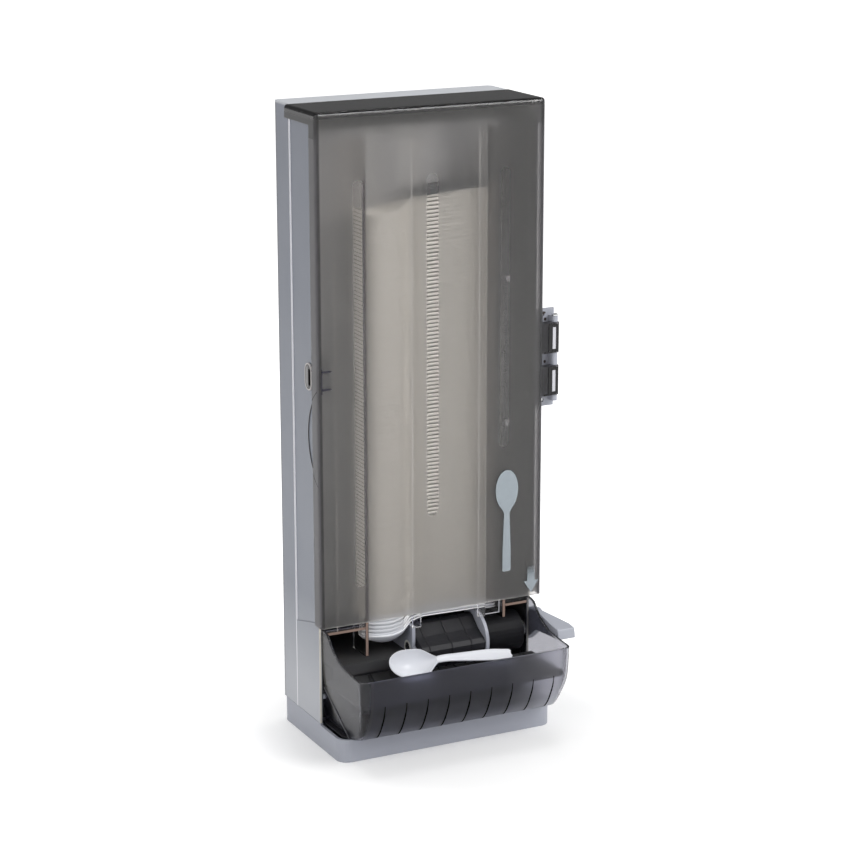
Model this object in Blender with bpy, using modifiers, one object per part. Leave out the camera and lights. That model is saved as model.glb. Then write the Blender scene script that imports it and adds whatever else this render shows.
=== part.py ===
"""A counter-top cutlery dispenser: a tall cabinet with a hinged cover, a stack of spoons in a magazine,
a lever that turns a rotor under the stack, and a tray that catches the spoon.

Lengths are in metres and +Z is up. The front is at -Y. The origin is the centre of the base's footprint,
on the table.
"""

import math

import bmesh
import bpy
from mathutils import Matrix, Vector

# Clearances
gap = 0.0003
pivot_gap = 0.0003
overrun = 0.002

# The profile of a bevel that is a quarter circle
round_share = 0.5

# Cabinet as a whole
width = 0.234
height = 0.62865
base_depth = 0.1405
kerb_reach = 0.033
back_step = 0.0015

# Base
base_corner = 0.012
kerb_height = 0.0234
rim_height = 0.0253
base_floor = 0.003
base_wall = 0.003
pad_radius = 0.009
pad_thickness = 0.002
pad_side_inset = 0.036
pad_end_inset = 0.019

# Screws
screw_radius = 0.002
screw_head_radius = 0.0036
screw_head_height = 0.0018
screw_length = 0.014
counterbore_gap = 0.0006
boss_radius = 0.0055

# Housing
housing_wall = 0.003
housing_corner = 0.005
recess_depth = 0.001
recess_bottom_front = 0.130
recess_bottom_back = 0.1157
recess_top_front_drop = 0.01325
recess_top_back_drop = 0.01135
scallop_radius = 0.057
scallop_reach = 0.0369
scallop_height = 0.315
scallop_depth = 0.0008
corner_boss_size = 0.012
corner_boss_reach = 0.016
corner_boss_height = 0.024
front_boss_setback = 0.019
rear_boss_setback = 0.016

# Cover, which is the door
cover_wall = 0.0025
cover_overhang = 0.0045
cover_bottom = 0.128
cover_corner = 0.0035
door_depth = 0.015
right_flange_depth = 0.0115
top_panel_depth = 0.070
top_skirt = 0.0125

# Hinge at the right
hinge_side_reach = 0.0195
hinge_setback = 0.005
hinge_low = 0.320
hinge_high = 0.419
hinge_plate = 0.0025
hinge_plate_gap = 0.007
hinge_plate_edge = 0.0031
hinge_leaf_depth = 0.032
hinge_pin_radius = 0.002
hinge_pin_head = 0.0032
hinge_pin_head_height = 0.0015
lug_radius = 0.0032
lug_length = 0.006
barrel_radius = 0.0045
upper_knuckle_low = 0.376
upper_knuckle_high = 0.406
lower_knuckle_low = 0.333
lower_knuckle_high = 0.3625
knuckle_border = 0.005
knuckle_window = 0.0085
hinge_screw_inset = 0.016
hinge_hole_radius = 0.0021

# Lock at the left
lock_setback = 0.03145
lock_height = 0.373
lock_half_height = 0.0134
bezel_radius = 0.0077
bezel_flange = 0.0015
bezel_border = 0.0017
slot_half_width = 0.0022
slot_half_height = 0.0085
slot_forward = 0.0030
lock_body_depth = 0.0135
lock_body_half_width = 0.0105
lock_body_half_height = 0.0160
tongue_thickness = 0.003
tongue_wall = 0.0049
tongue_half_height = 0.005
tongue_nose = 0.0225
tongue_tail = 0.0070
tongue_travel = 0.004
catch_arm = 0.0022
catch_arm_depth = 0.0097
catch_arm_half_height = 0.015
catch_lip = 0.0006
catch_lip_half_height = 0.007
catch_rib = 0.0014
catch_rib_offset = 0.0083
catch_rib_depth = 0.0045
catch_rib_reach = 0.0064
catch_clearance = 0.0005

# Chassis plate behind the magazine
chassis_setback = 0.042
chassis_plate = 0.0025
chassis_side_gap = 0.0025
chassis_low = 0.127
chassis_headroom = 0.02265
chassis_boss_radius = 0.006
chassis_boss_side = 0.085
chassis_boss_low = 0.170
chassis_boss_headroom = 0.06865

# Magazine guides and retainers
guide_wall = 0.0035
guide_left_inner = 0.0685
guide_right_inner = 0.080
guide_front = 0.005
guide_foot_depth = 0.029
guide_left_low = 0.091
guide_drum_clearance = 0.0011
guide_headroom = 0.02865
guide_flange = 0.0025
guide_left_flange_reach = 0.031
guide_right_flange_reach = 0.026
guide_flange_low = 0.119
guide_ledge_reach = 0.0425
guide_ledge_depth = 0.007
guide_ledge = 0.0025
magazine_screw_side = 0.0033
magazine_boss_radius = 0.0053
magazine_screw_low = 0.310
magazine_screw_high = 0.455
retainer_depth = 0.0022
retainer_low = 0.113
retainer_left_low_x = -0.021
retainer_left_width = 0.009
retainer_right_low_x = 0.052
retainer_right_width = 0.0075

# Rotor and its bearings
rotor_setback = 0.023
rotor_height = 0.086
shaft_radius = 0.005
drum_left = -0.013
drum_right = 0.0565
drum_radius = 0.027
flange_radius = 0.028
flange_thickness = 0.0035
rotor_step = 0.0005
drive_drum_right = 0.104
drive_drum_radius = 0.0205
bush_wall = 0.002
spring_wire = 0.0008
spring_radius = 0.0075
spring_turns = 4
spring_points = 10
drum_outline_shares = (
    (-1.00, 0.07),
    (-0.97, -0.15),
    (-0.80, -0.50),
    (-0.45, -0.80),
    (0.00, -0.90),
    (0.50, -0.75),
    (0.80, -0.40),
    (0.88, 0.10),
    (0.80, 0.50),
    (0.55, 0.80),
    (0.26, 0.87),
    (0.05, 0.80),
    (-0.16, 0.63),
    (-0.38, 0.45),
    (-0.62, 0.32),
    (-0.86, 0.22),
)

# Lever
lever_side_gap = 0.0010
lever_hub_width = 0.0090
lever_hub_radius = 0.013
lever_root_width = 0.0070
lever_tip_width = 0.0195
lever_reach = 0.0640
lever_flare_reach = 0.0535
lever_root_reach = 0.0210
lever_tip_top = 0.0160
lever_tip_bottom = 0.0060
lever_crest = 0.0230
lever_web = 0.0030
lever_edge = 0.0012

# Partition and deck
partition_left = -0.0175
partition_wall = 0.0035
partition_setback = 0.012
partition_foot_front = -0.001
partition_neck_low = 0.090
partition_foot_top = 0.084
partition_foot_low = 0.071
partition_back = 0.060
partition_top = 0.111
deck_left = -0.103
deck_back = 0.100
deck_top = 0.082
deck_wall = 0.0025

# Tray
tray_wall = 0.0022
tray_corner = 0.008
tray_foot_gap = 0.0004
tray_lip_reach = 0.076
tray_lip_height = 0.096
tray_lip_half_width = 0.115
tray_belly_reach = 0.0747
tray_belly_height = 0.0655
tray_belly_half_width = 0.113
tray_waist_reach = 0.0673
tray_waist_height = 0.046
tray_waist_half_width = 0.108
tray_shin_reach = 0.0587
tray_shin_height = 0.0335
tray_shin_half_width = 0.104
tray_toe_reach = 0.0506
tray_toe_height = 0.0286
tray_foot_reach = 0.0346
tray_foot_half_width = 0.103
tray_ear_top = 0.1225
tray_ear_crest = 0.1205
tray_ear_front = 0.0005
tray_rim_shares = (
    (0.00, 0.000),
    (0.22, 0.024),
    (0.40, 0.065),
    (0.51, 0.105),
    (0.61, 0.170),
    (0.72, 0.300),
    (0.83, 0.490),
    (0.94, 0.760),
    (1.00, 1.000),
)
tray_floor_top = 0.0691
tray_floor_plate = 0.0025
tray_floor_side = 0.1105
tray_floor_front = 0.0718
tray_floor_notch = 0.002
pin_radius = 0.0025
pin_setback = 0.0178
pin_height = 0.052
pin_reach = 0.0072
ear_side = 0.1072
ear_wall = 0.0022
ear_half_height = 0.005
ear_reach = 0.0040
sole_side_gap = 0.0025
sole_front_gap = 0.0016
sole_corner = 0.010
sole_plate = 0.0014

# Spoons
spoon_length = 0.147
spoon_bowl_length = 0.046
spoon_bowl_half_width = 0.0155
spoon_neck_half_width = 0.0033
spoon_end_half_width = 0.0072
spoon_bowl_drop = 0.010
spoon_bowl_depth = 0.011
spoon_channel = 0.0008
spoon_thickness = 0.0012
spoon_stations = 20
spoon_lanes = 4
stack_left = -0.068
stack_setback = 0.024
stack_clearance = 0.003
stack_headroom = 0.09165
stack_level_shares = (0.28266, 0.54394, 0.87648)
stack_fan = 0.054
stack_rib_pitch = 0.032
stack_groove_half_height = 0.0035
stack_groove_depth = 0.0055
stack_groove_most_share = 0.65
weight_left = -0.008
weight_right = 0.070
weight_half_depth = 0.009
weight_height = 0.008
weight_edge = 0.0012
loose_tip_x = -0.056
loose_tip_setback = -0.0225
loose_yaw = math.radians(6)
loose_roll = math.radians(45)

# Places worked out from the sizes above
side = width / 2
base_front = -base_depth / 2
base_back = base_depth / 2
cover_front = base_front + kerb_reach
cover_side = side + cover_overhang
housing_front = cover_front + door_depth
housing_back = base_back - back_step
housing_bottom = rim_height + gap
inner_side = side - housing_wall
inner_back = housing_back - housing_wall
recess_side = side - recess_depth
shoulder = height - cover_wall - gap
strip_front = cover_front + top_panel_depth + gap
recess_top_front = height - recess_top_front_drop
recess_top_back = height - recess_top_back_drop
chassis_high = height - chassis_headroom
chassis_boss_high = height - chassis_boss_headroom
guide_high = height - guide_headroom
stack_top = height - stack_headroom
hole_radius = screw_radius + gap
hinge_x = side + hinge_side_reach
hinge_y = cover_front + hinge_setback
hinge_plate_front = hinge_y + hinge_plate_gap
rotor_y = cover_front + rotor_setback
shaft_right = side + lever_side_gap + lever_hub_width - lever_web
lock_y = cover_front + lock_setback
tray_back = housing_front - gap
stack_bottom = rotor_height + drum_radius + stack_clearance
guide_right_low = rotor_height + drive_drum_radius + guide_drum_clearance
lock_body_left = -inner_side + gap
tongue_left = lock_body_left + tongue_wall

parts = bpy.data.collections.new("cutlery_dispenser")
cutters = bpy.data.collections.new("cutters")

# A turn that lays a flat outline in the Y-Z plane, with its thickness along X.
along_yz = Matrix(((0, 0, 1), (1, 0, 0), (0, 1, 0))).to_4x4()


def clear_scene():
    for thing in list(bpy.data.objects):
        bpy.data.objects.remove(thing, do_unlink=True)
    for collection in (parts, cutters):
        bpy.context.scene.collection.children.link(collection)
    cutters.hide_render = True


def finish_material(name, colour, roughness, metallic=0.0, alpha=1.0):
    """A plain plastic or metal finish."""
    material = bpy.data.materials.new(name)
    material.use_nodes = True
    shader = material.node_tree.nodes["Principled BSDF"]
    shader.inputs["Base Color"].default_value = (*colour, 1.0)
    shader.inputs["Roughness"].default_value = roughness
    shader.inputs["Metallic"].default_value = metallic
    shader.inputs["Alpha"].default_value = alpha
    material.diffuse_color = (*colour, alpha)
    return material


def dress(thing, colour, roughness, metallic=0.0, alpha=1.0):
    """Gives a piece its own finish and shades its round faces smooth."""
    finish = finish_material(thing.name, colour, roughness, metallic, alpha)
    thing.data.materials.append(finish)
    if thing.type == "MESH":
        thing.data.shade_smooth()
        thing.data.set_sharp_from_angle(angle=math.radians(35))
    return thing


def grey(thing):
    return dress(thing, (0.34, 0.36, 0.40), 0.45)


def smoke(thing):
    return dress(thing, (0.10, 0.10, 0.11), 0.25, alpha=0.6)


def dark(thing):
    return dress(thing, (0.025, 0.025, 0.027), 0.5)


def clear(thing):
    return dress(thing, (0.55, 0.53, 0.50), 0.15, alpha=0.4)


def white(thing):
    return dress(thing, (0.80, 0.81, 0.82), 0.35)


def steel(thing):
    return dress(thing, (0.55, 0.56, 0.57), 0.3, metallic=1.0)


def rubber(thing):
    return dress(thing, (0.03, 0.03, 0.03), 0.8)


def new_piece(name, mesh_data, place=None):
    thing = bpy.data.objects.new(name, mesh_data)
    parts.objects.link(thing)
    if place is not None:
        thing.matrix_world = place
    return thing


def piece_from(name, mesh, place=None):
    """An object that holds a finished bmesh."""
    bmesh.ops.recalc_face_normals(mesh, faces=mesh.faces)
    data = bpy.data.meshes.new(name)
    mesh.to_mesh(data)
    mesh.free()
    return new_piece(name, data, place)


def block(name, low, high, radius=0.0, axis=None, segments=4, sharp=()):
    """A box between two corners. A radius rounds the edges that run along the axis, or all of them.

    The edges of the faces in sharp, each an axis and a direction along it, stay square.
    """
    low, high = Vector(low), Vector(high)
    size = high - low
    mesh = bmesh.new()
    bmesh.ops.create_cube(mesh, size=1)
    bmesh.ops.scale(mesh, vec=size, verts=mesh.verts)
    if radius > 0:
        edges = list(mesh.edges)
        if axis is not None:
            edges = [e for e in edges if abs((e.verts[0].co - e.verts[1].co)[axis]) > size[axis] / 2]
        for along, way in sharp:
            edges = [e for e in edges if (e.verts[0].co + e.verts[1].co)[along] * way < size[along] / 2]
        bmesh.ops.bevel(
            mesh, geom=edges, offset=radius, segments=segments, profile=round_share, affect="EDGES"
        )
    return piece_from(name, mesh, Matrix.Translation((low + high) / 2))


def rod(name, start, end, radius, sides=16):
    """A cylinder from one point to another."""
    start, end = Vector(start), Vector(end)
    run = end - start
    mesh = bmesh.new()
    bmesh.ops.create_cone(
        mesh, cap_ends=True, segments=sides, radius1=radius, radius2=radius, depth=run.length
    )
    turn = run.to_track_quat("Z", "Y").to_matrix().to_4x4()
    return piece_from(name, mesh, Matrix.Translation((start + end) / 2) @ turn)


def plate(name, outline, low, high, turn=None):
    """A flat outline made as thick as the stretch from low to high along the axis across it."""
    curve = bpy.data.curves.new(name, "CURVE")
    curve.dimensions = "2D"
    curve.fill_mode = "BOTH"
    curve.extrude = (high - low) / 2
    spline = curve.splines.new("POLY")
    spline.points.add(len(outline) - 1)
    for point, (across, up) in zip(spline.points, outline):
        point.co = (across, up, 0, 1)
    spline.use_cyclic_u = True
    turn = turn or Matrix.Identity(4)
    guide = bpy.data.objects.new(name + "_outline", curve)
    parts.objects.link(guide)
    guide.matrix_world = Matrix.Translation(turn @ Vector((0, 0, (low + high) / 2))) @ turn
    return meshed(guide, name)


def meshed(guide, name):
    """The mesh of a curve object, with its caps welded. The curve is removed."""
    bpy.context.view_layer.update()
    graph = bpy.context.evaluated_depsgraph_get()
    data = bpy.data.meshes.new_from_object(guide.evaluated_get(graph))
    place = guide.matrix_world.copy()
    bpy.data.objects.remove(guide, do_unlink=True)
    mesh = bmesh.new()
    mesh.from_mesh(data)
    bmesh.ops.remove_doubles(mesh, verts=mesh.verts, dist=gap / 10)
    bpy.data.meshes.remove(data)
    return piece_from(name, mesh, place)


def turned(name, profile, place, steps=16):
    """A solid of revolution. The profile's (radius, height) points run down its outer side."""
    mesh = bmesh.new()
    points = [mesh.verts.new((radius, 0, up)) for radius, up in profile]
    for first, second in zip(points, points[1:]):
        mesh.edges.new((first, second))
    data = bpy.data.meshes.new(name)
    mesh.to_mesh(data)
    mesh.free()
    thing = new_piece(name, data, place)
    screw = thing.modifiers.new("turn", "SCREW")
    screw.steps = steps
    screw.render_steps = steps
    screw.use_merge_vertices = True
    screw.merge_threshold = gap / 10
    return thing


def operand(thing):
    """Puts away an object that only shapes another one."""
    parts.objects.unlink(thing)
    cutters.objects.link(thing)
    thing.hide_render = True
    thing.display_type = "WIRE"
    return thing


def combine(target, thing, operation):
    step = target.modifiers.new(thing.name, "BOOLEAN")
    step.operation = operation
    step.solver = "EXACT"
    step.object = operand(thing)
    return target


def cut(target, *things):
    for thing in things:
        combine(target, thing, "DIFFERENCE")
    return target


def join(target, *things):
    for thing in things:
        combine(target, thing, "UNION")
    return target


def screw(name, head, direction, length=screw_length):
    """A pan-head screw whose head stands at a point and whose shank runs along a direction."""
    place = Matrix.Translation(head) @ Vector(direction).to_track_quat("-Z", "Y").to_matrix().to_4x4()
    head_edge = screw_head_radius - screw_head_height / 3
    profile = (
        (0, screw_head_height),
        (head_edge, screw_head_height),
        (screw_head_radius, screw_head_height / 2),
        (screw_head_radius, 0),
        (screw_radius, 0),
        (screw_radius, -length),
        (0, -length),
    )
    return steel(turned(name, profile, place, 12))


def carrier(name, place):
    """An empty on a joint's axis, which carries what turns or slides there."""
    empty = bpy.data.objects.new(name, None)
    parts.objects.link(empty)
    empty.location = place
    return empty


def carry(empty, *things):
    bpy.context.view_layer.update()
    for thing in things:
        place = thing.matrix_world.copy()
        thing.parent = empty
        thing.matrix_parent_inverse = empty.matrix_world.inverted()
        thing.matrix_world = place


def stadium(half_width, half_height, steps=8):
    """The outline of a slot with round ends, standing upright."""
    straight = half_height - half_width
    top = [math.pi * i / steps for i in range(steps + 1)]
    points = [(half_width * math.cos(a), straight + half_width * math.sin(a)) for a in top]
    return points + [(-x, -y) for x, y in points]


def shifted(outline, across, up):
    return [(x + across, y + up) for x, y in outline]


def corner_boss_places():
    """The four places where the housing is screwed to the base: (side, y, end)."""
    front = housing_front + front_boss_setback
    rear = inner_back - rear_boss_setback
    for hand in (-1, 1):
        for y, end in ((front, "front"), (rear, "rear")):
            yield hand, y, end


def corner_boss_x(hand):
    return hand * (inner_side - corner_boss_reach / 2)


def make_base():
    base = block(
        "base_pan",
        (-side, base_front, 0),
        (side, base_back, rim_height),
        radius=base_corner,
        axis=2,
        segments=6,
    )
    kerb = block(
        "kerb_cut",
        (-side - overrun, base_front - overrun, kerb_height),
        (side + overrun, housing_front - gap, rim_height + overrun),
    )
    pocket = block(
        "base_pocket",
        (-side + base_wall, base_front + base_wall, base_floor),
        (side - base_wall, base_back - base_wall, rim_height + overrun),
        radius=base_corner - base_wall,
        axis=2,
        segments=6,
    )
    cut(base, pocket, kerb)
    for hand, y, end in corner_boss_places():
        x = corner_boss_x(hand)
        label = f"{end}_{'left' if hand < 0 else 'right'}"
        pillar = rod(f"pillar_{label}", (x, y, base_floor / 2), (x, y, rim_height), boss_radius)
        join(base, pillar)
    for hand, y, end in corner_boss_places():
        x = corner_boss_x(hand)
        label = f"{end}_{'left' if hand < 0 else 'right'}"
        bore = screw_head_radius + counterbore_gap
        seat = screw_head_height + counterbore_gap
        cut(
            base,
            rod(f"base_counterbore_{label}", (x, y, -overrun), (x, y, seat), bore),
            rod(f"base_hole_{label}", (x, y, -overrun), (x, y, rim_height + overrun), hole_radius),
        )
        screw(f"base_screw_{label}", (x, y, seat + gap - counterbore_gap), (0, 0, 1), rim_height)
    for hand in (-1, 1):
        for y, end in ((base_front + pad_end_inset, "front"), (base_back - pad_end_inset, "rear")):
            x = hand * (side - pad_side_inset)
            label = f"{end}_{'left' if hand < 0 else 'right'}"
            cut(
                base,
                rod(
                    f"pad_recess_{label}",
                    (x, y, -overrun),
                    (x, y, pad_thickness),
                    pad_radius + gap,
                ),
            )
            rubber(rod(f"foot_pad_{label}", (x, y, 0), (x, y, pad_thickness - gap), pad_radius))
    return grey(base)


def make_housing():
    housing = block(
        "housing",
        (-side, housing_front, housing_bottom),
        (side, housing_back, height),
        radius=housing_corner,
        axis=2,
        segments=5,
        sharp=((1, -1),),
    )
    inside = block(
        "housing_inside",
        (-inner_side, housing_front - overrun, housing_bottom - overrun),
        (inner_side, inner_back, shoulder - housing_wall),
        radius=housing_corner - housing_wall,
        axis=2,
        segments=3,
        sharp=((1, -1),),
    )
    top_step = block(
        "top_step",
        (-side - overrun, housing_front - overrun, shoulder),
        (side + overrun, strip_front, height + overrun),
    )
    cut(housing, inside, top_step)
    for hand in (-1, 1):
        recess = (
            (housing_front - overrun, recess_bottom_front),
            (cover_front + top_panel_depth, recess_bottom_back),
            (cover_front + top_panel_depth, recess_top_back),
            (housing_front - overrun, recess_top_front),
        )
        low, high = sorted((hand * recess_side, hand * (side + overrun)))
        cut(housing, plate(f"side_recess_{'left' if hand < 0 else 'right'}", recess, low, high, along_yz))
    scallop_y = cover_front + scallop_reach - scallop_radius
    cut(
        housing,
        rod(
            "finger_scallop",
            (-side - overrun, scallop_y, scallop_height),
            (-recess_side + scallop_depth, scallop_y, scallop_height),
            scallop_radius,
            sides=80,
        ),
    )
    for hand, y, end in corner_boss_places():
        inner, outer = inner_side - corner_boss_reach, inner_side + housing_wall / 2
        low, high = sorted((hand * inner, hand * outer))
        half = corner_boss_size / 2
        label = f"{end}_{'left' if hand < 0 else 'right'}"
        join(
            housing,
            block(
                f"corner_boss_{label}",
                (low, y - half, housing_bottom),
                (high, y + half, housing_bottom + corner_boss_height),
            ),
        )
        x = corner_boss_x(hand)
        cut(
            housing,
            rod(
                f"corner_boss_hole_{label}",
                (x, y, housing_bottom - overrun),
                (x, y, housing_bottom + corner_boss_height - overrun),
                hole_radius,
            ),
        )
    neck = stadium(bezel_radius - bezel_border, lock_half_height - bezel_border)
    neck = shifted(neck, lock_y, lock_height)
    cut(housing, plate("lock_opening", neck, -side - overrun, -inner_side + overrun, along_yz))
    cut(
        housing,
        rod(
            "bush_hole",
            across_rotor(inner_side - overrun),
            across_rotor(side + overrun),
            shaft_radius + bush_wall + 2 * gap,
        ),
    )
    for label, z in hinge_screw_places():
        y = hinge_screw_y()
        cut(
            housing,
            rod(
                f"hinge_screw_hole_{label}",
                (inner_side - overrun, y, z),
                (side + overrun, y, z),
                hole_radius,
            ),
        )
    for label, x, z in chassis_boss_places():
        seat = housing_back - screw_head_height - counterbore_gap
        cut(
            housing,
            rod(
                f"back_hole_{label}",
                (x, inner_back - overrun, z),
                (x, housing_back + overrun, z),
                hole_radius,
            ),
            rod(
                f"back_counterbore_{label}",
                (x, seat, z),
                (x, housing_back + overrun, z),
                screw_head_radius + counterbore_gap,
            ),
        )
        screw(f"chassis_screw_{label}", (x, seat + gap, z), (0, -1, 0))
    return grey(housing)


def chassis_boss_places():
    for x, hand in ((-chassis_boss_side, "left"), (chassis_boss_side, "right")):
        for z, level in ((chassis_boss_low, "lower"), (chassis_boss_high, "upper")):
            yield f"{level}_{hand}", x, z


def make_chassis():
    """The plate that stands behind the spoons on four bosses."""
    front = cover_front + chassis_setback
    reach = inner_side - chassis_side_gap
    chassis = block(
        "chassis_plate", (-reach, front, chassis_low), (reach, front + chassis_plate, chassis_high)
    )
    for label, x, z in chassis_boss_places():
        join(
            chassis,
            rod(
                f"chassis_boss_{label}",
                (x, front + chassis_plate / 2, z),
                (x, inner_back - gap, z),
                chassis_boss_radius,
            ),
        )
        cut(
            chassis,
            rod(
                f"chassis_boss_hole_{label}",
                (x, inner_back - screw_length, z),
                (x, inner_back + overrun, z),
                hole_radius,
            ),
        )
    for label, z in magazine_screw_places():
        cut(
            chassis,
            rod(
                f"chassis_dowel_hole_{label}",
                (magazine_screw_x(), front - overrun, z),
                (magazine_screw_x(), front + chassis_plate + overrun, z),
                hole_radius,
            ),
        )
    return grey(chassis)


def hinge_screw_places():
    return (
        ("lower", hinge_low + hinge_screw_inset),
        ("upper", hinge_high - hinge_screw_inset),
    )


def hinge_screw_y():
    return hinge_plate_front + hinge_leaf_depth - hinge_screw_inset / 2


def hinge_lugs():
    """The bracket's three bearing lugs: (name, low, high)."""
    upper = upper_knuckle_high + gap
    lower = lower_knuckle_low - gap
    return (
        ("upper", upper, upper + lug_length),
        ("middle", lower_knuckle_high + gap, upper_knuckle_low - gap),
        ("lower", lower - lug_length, lower),
    )


def make_hinge():
    leaf_side = side + gap
    right = hinge_x + hinge_plate_edge
    bracket = block(
        "hinge_bracket",
        (leaf_side, hinge_plate_front, hinge_low),
        (right, hinge_plate_front + hinge_plate, hinge_high),
    )
    leaf = block(
        "hinge_leaf",
        (leaf_side, hinge_plate_front, hinge_low),
        (leaf_side + hinge_plate, hinge_plate_front + hinge_leaf_depth, hinge_high),
    )
    join(bracket, leaf)
    lugs = hinge_lugs()
    for name, low, high in lugs:
        web = block(
            f"lug_web_{name}",
            (hinge_x - lug_radius, hinge_y, low),
            (right, hinge_plate_front + hinge_plate / 2, high),
        )
        lug = rod(f"lug_{name}", (hinge_x, hinge_y, low), (hinge_x, hinge_y, high), lug_radius, 24)
        join(bracket, web, lug)
    pin_low = lugs[2][1]
    pin_high = lugs[0][2] + gap
    cut(
        bracket,
        rod(
            "bracket_pin_hole",
            (hinge_x, hinge_y, pin_low - overrun),
            (hinge_x, hinge_y, pin_high + overrun),
            hinge_pin_radius + pivot_gap,
        ),
    )
    plate_hole_x = hinge_x - hinge_side_reach / 2
    for label, z in (("low", hinge_low + lug_length), ("high", hinge_high - lug_length)):
        cut(
            bracket,
            rod(
                f"plate_hole_{label}",
                (plate_hole_x, hinge_plate_front - overrun, z),
                (plate_hole_x, hinge_plate_front + hinge_plate + overrun, z),
                hinge_hole_radius,
            ),
        )
    for label, z in hinge_screw_places():
        y = hinge_screw_y()
        outer = leaf_side + hinge_plate
        cut(
            bracket,
            rod(
                f"leaf_hole_{label}",
                (leaf_side - overrun, y, z),
                (outer + overrun, y, z),
                hole_radius,
            ),
        )
        screw(f"hinge_screw_{label}", (outer + gap, y, z), (-1, 0, 0), screw_length / 2)
    grey(bracket)
    profile = (
        (0, pin_high + hinge_pin_head_height),
        (hinge_pin_head, pin_high + hinge_pin_head_height),
        (hinge_pin_head, pin_high),
        (hinge_pin_radius, pin_high),
        (hinge_pin_radius, pin_low),
        (0, pin_low),
    )
    steel(turned("hinge_pin", profile, Matrix.Translation((hinge_x, hinge_y, 0))))


def make_cover():
    """The smoked cover with its top panel, flanges, hinge knuckles and catch."""
    cover = block(
        "front_cover",
        (-cover_side, cover_front, cover_bottom),
        (cover_side, cover_front + top_panel_depth, height),
        radius=cover_corner,
        segments=3,
        sharp=((1, 1), (2, -1)),
    )
    inside = block(
        "cover_inside",
        (-cover_side + cover_wall, cover_front + cover_wall, cover_bottom - overrun),
        (cover_side - cover_wall, cover_front + top_panel_depth + overrun, height - cover_wall),
    )
    left_clearing = block(
        "left_flange_cut",
        (-cover_side - overrun, housing_front - gap, cover_bottom - overrun),
        (0, cover_front + top_panel_depth + overrun, height - top_skirt),
    )
    right_clearing = block(
        "right_flange_cut",
        (0, cover_front + right_flange_depth, cover_bottom - overrun),
        (cover_side + overrun, cover_front + top_panel_depth + overrun, height - cover_wall),
    )
    cut(cover, inside, left_clearing, right_clearing)
    knuckles = (
        ("upper", upper_knuckle_low, upper_knuckle_high),
        ("lower", lower_knuckle_low, lower_knuckle_high),
    )
    for name, low, high in knuckles:
        arm = block(
            f"knuckle_arm_{name}",
            (cover_side - cover_wall, hinge_y - barrel_radius, low),
            (hinge_x, hinge_y + barrel_radius, high),
        )
        barrel = rod(f"barrel_{name}", (hinge_x, hinge_y, low), (hinge_x, hinge_y, high), barrel_radius, 24)
        join(cover, arm, barrel)
        half = knuckle_window / 2
        cut(
            cover,
            block(
                f"knuckle_window_{name}",
                (hinge_x - half, hinge_y - barrel_radius - overrun, low + knuckle_border),
                (hinge_x + half / 2, hinge_y + hinge_pin_radius + pivot_gap, high - knuckle_border),
            ),
            rod(
                f"knuckle_bore_{name}",
                (hinge_x, hinge_y, low - overrun),
                (hinge_x, hinge_y, high + overrun),
                hinge_pin_radius + pivot_gap,
            ),
        )
    return smoke(cover)


def make_catch():
    """The bracket on the cover's inner face whose arm stands beside the lock's tongue."""
    lip_right = tongue_left - catch_clearance
    arm_right = lip_right - catch_lip
    seat = cover_front + cover_wall + gap
    arm_back = seat + catch_arm_depth
    arm = block(
        "catch_bracket",
        (arm_right - catch_arm, seat, lock_height - catch_arm_half_height),
        (arm_right, arm_back, lock_height + catch_arm_half_height),
    )
    lip = block(
        "catch_lip",
        (arm_right - catch_arm / 2, arm_back - catch_arm, lock_height - catch_lip_half_height),
        (lip_right, arm_back, lock_height + catch_lip_half_height),
    )
    join(arm, lip)
    for sign, name in ((-1, "lower"), (1, "upper")):
        middle = lock_height + sign * catch_rib_offset
        join(
            arm,
            block(
                f"catch_rib_{name}",
                (arm_right - catch_arm / 2, seat, middle - catch_rib / 2),
                (arm_right + catch_rib_reach, seat + catch_rib_depth, middle + catch_rib / 2),
            ),
        )
    return dark(arm)


def make_retainers():
    """The two clear strips on the cover's inner face that keep the spoons from leaning out."""
    front = cover_front + cover_wall + gap
    strips = (
        ("retainer_left", retainer_left_low_x, retainer_left_width),
        ("retainer_right", retainer_right_low_x, retainer_right_width),
    )
    return [
        clear(block(name, (x, front, retainer_low), (x + wide, front + retainer_depth, guide_high)))
        for name, x, wide in strips
    ]


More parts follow.
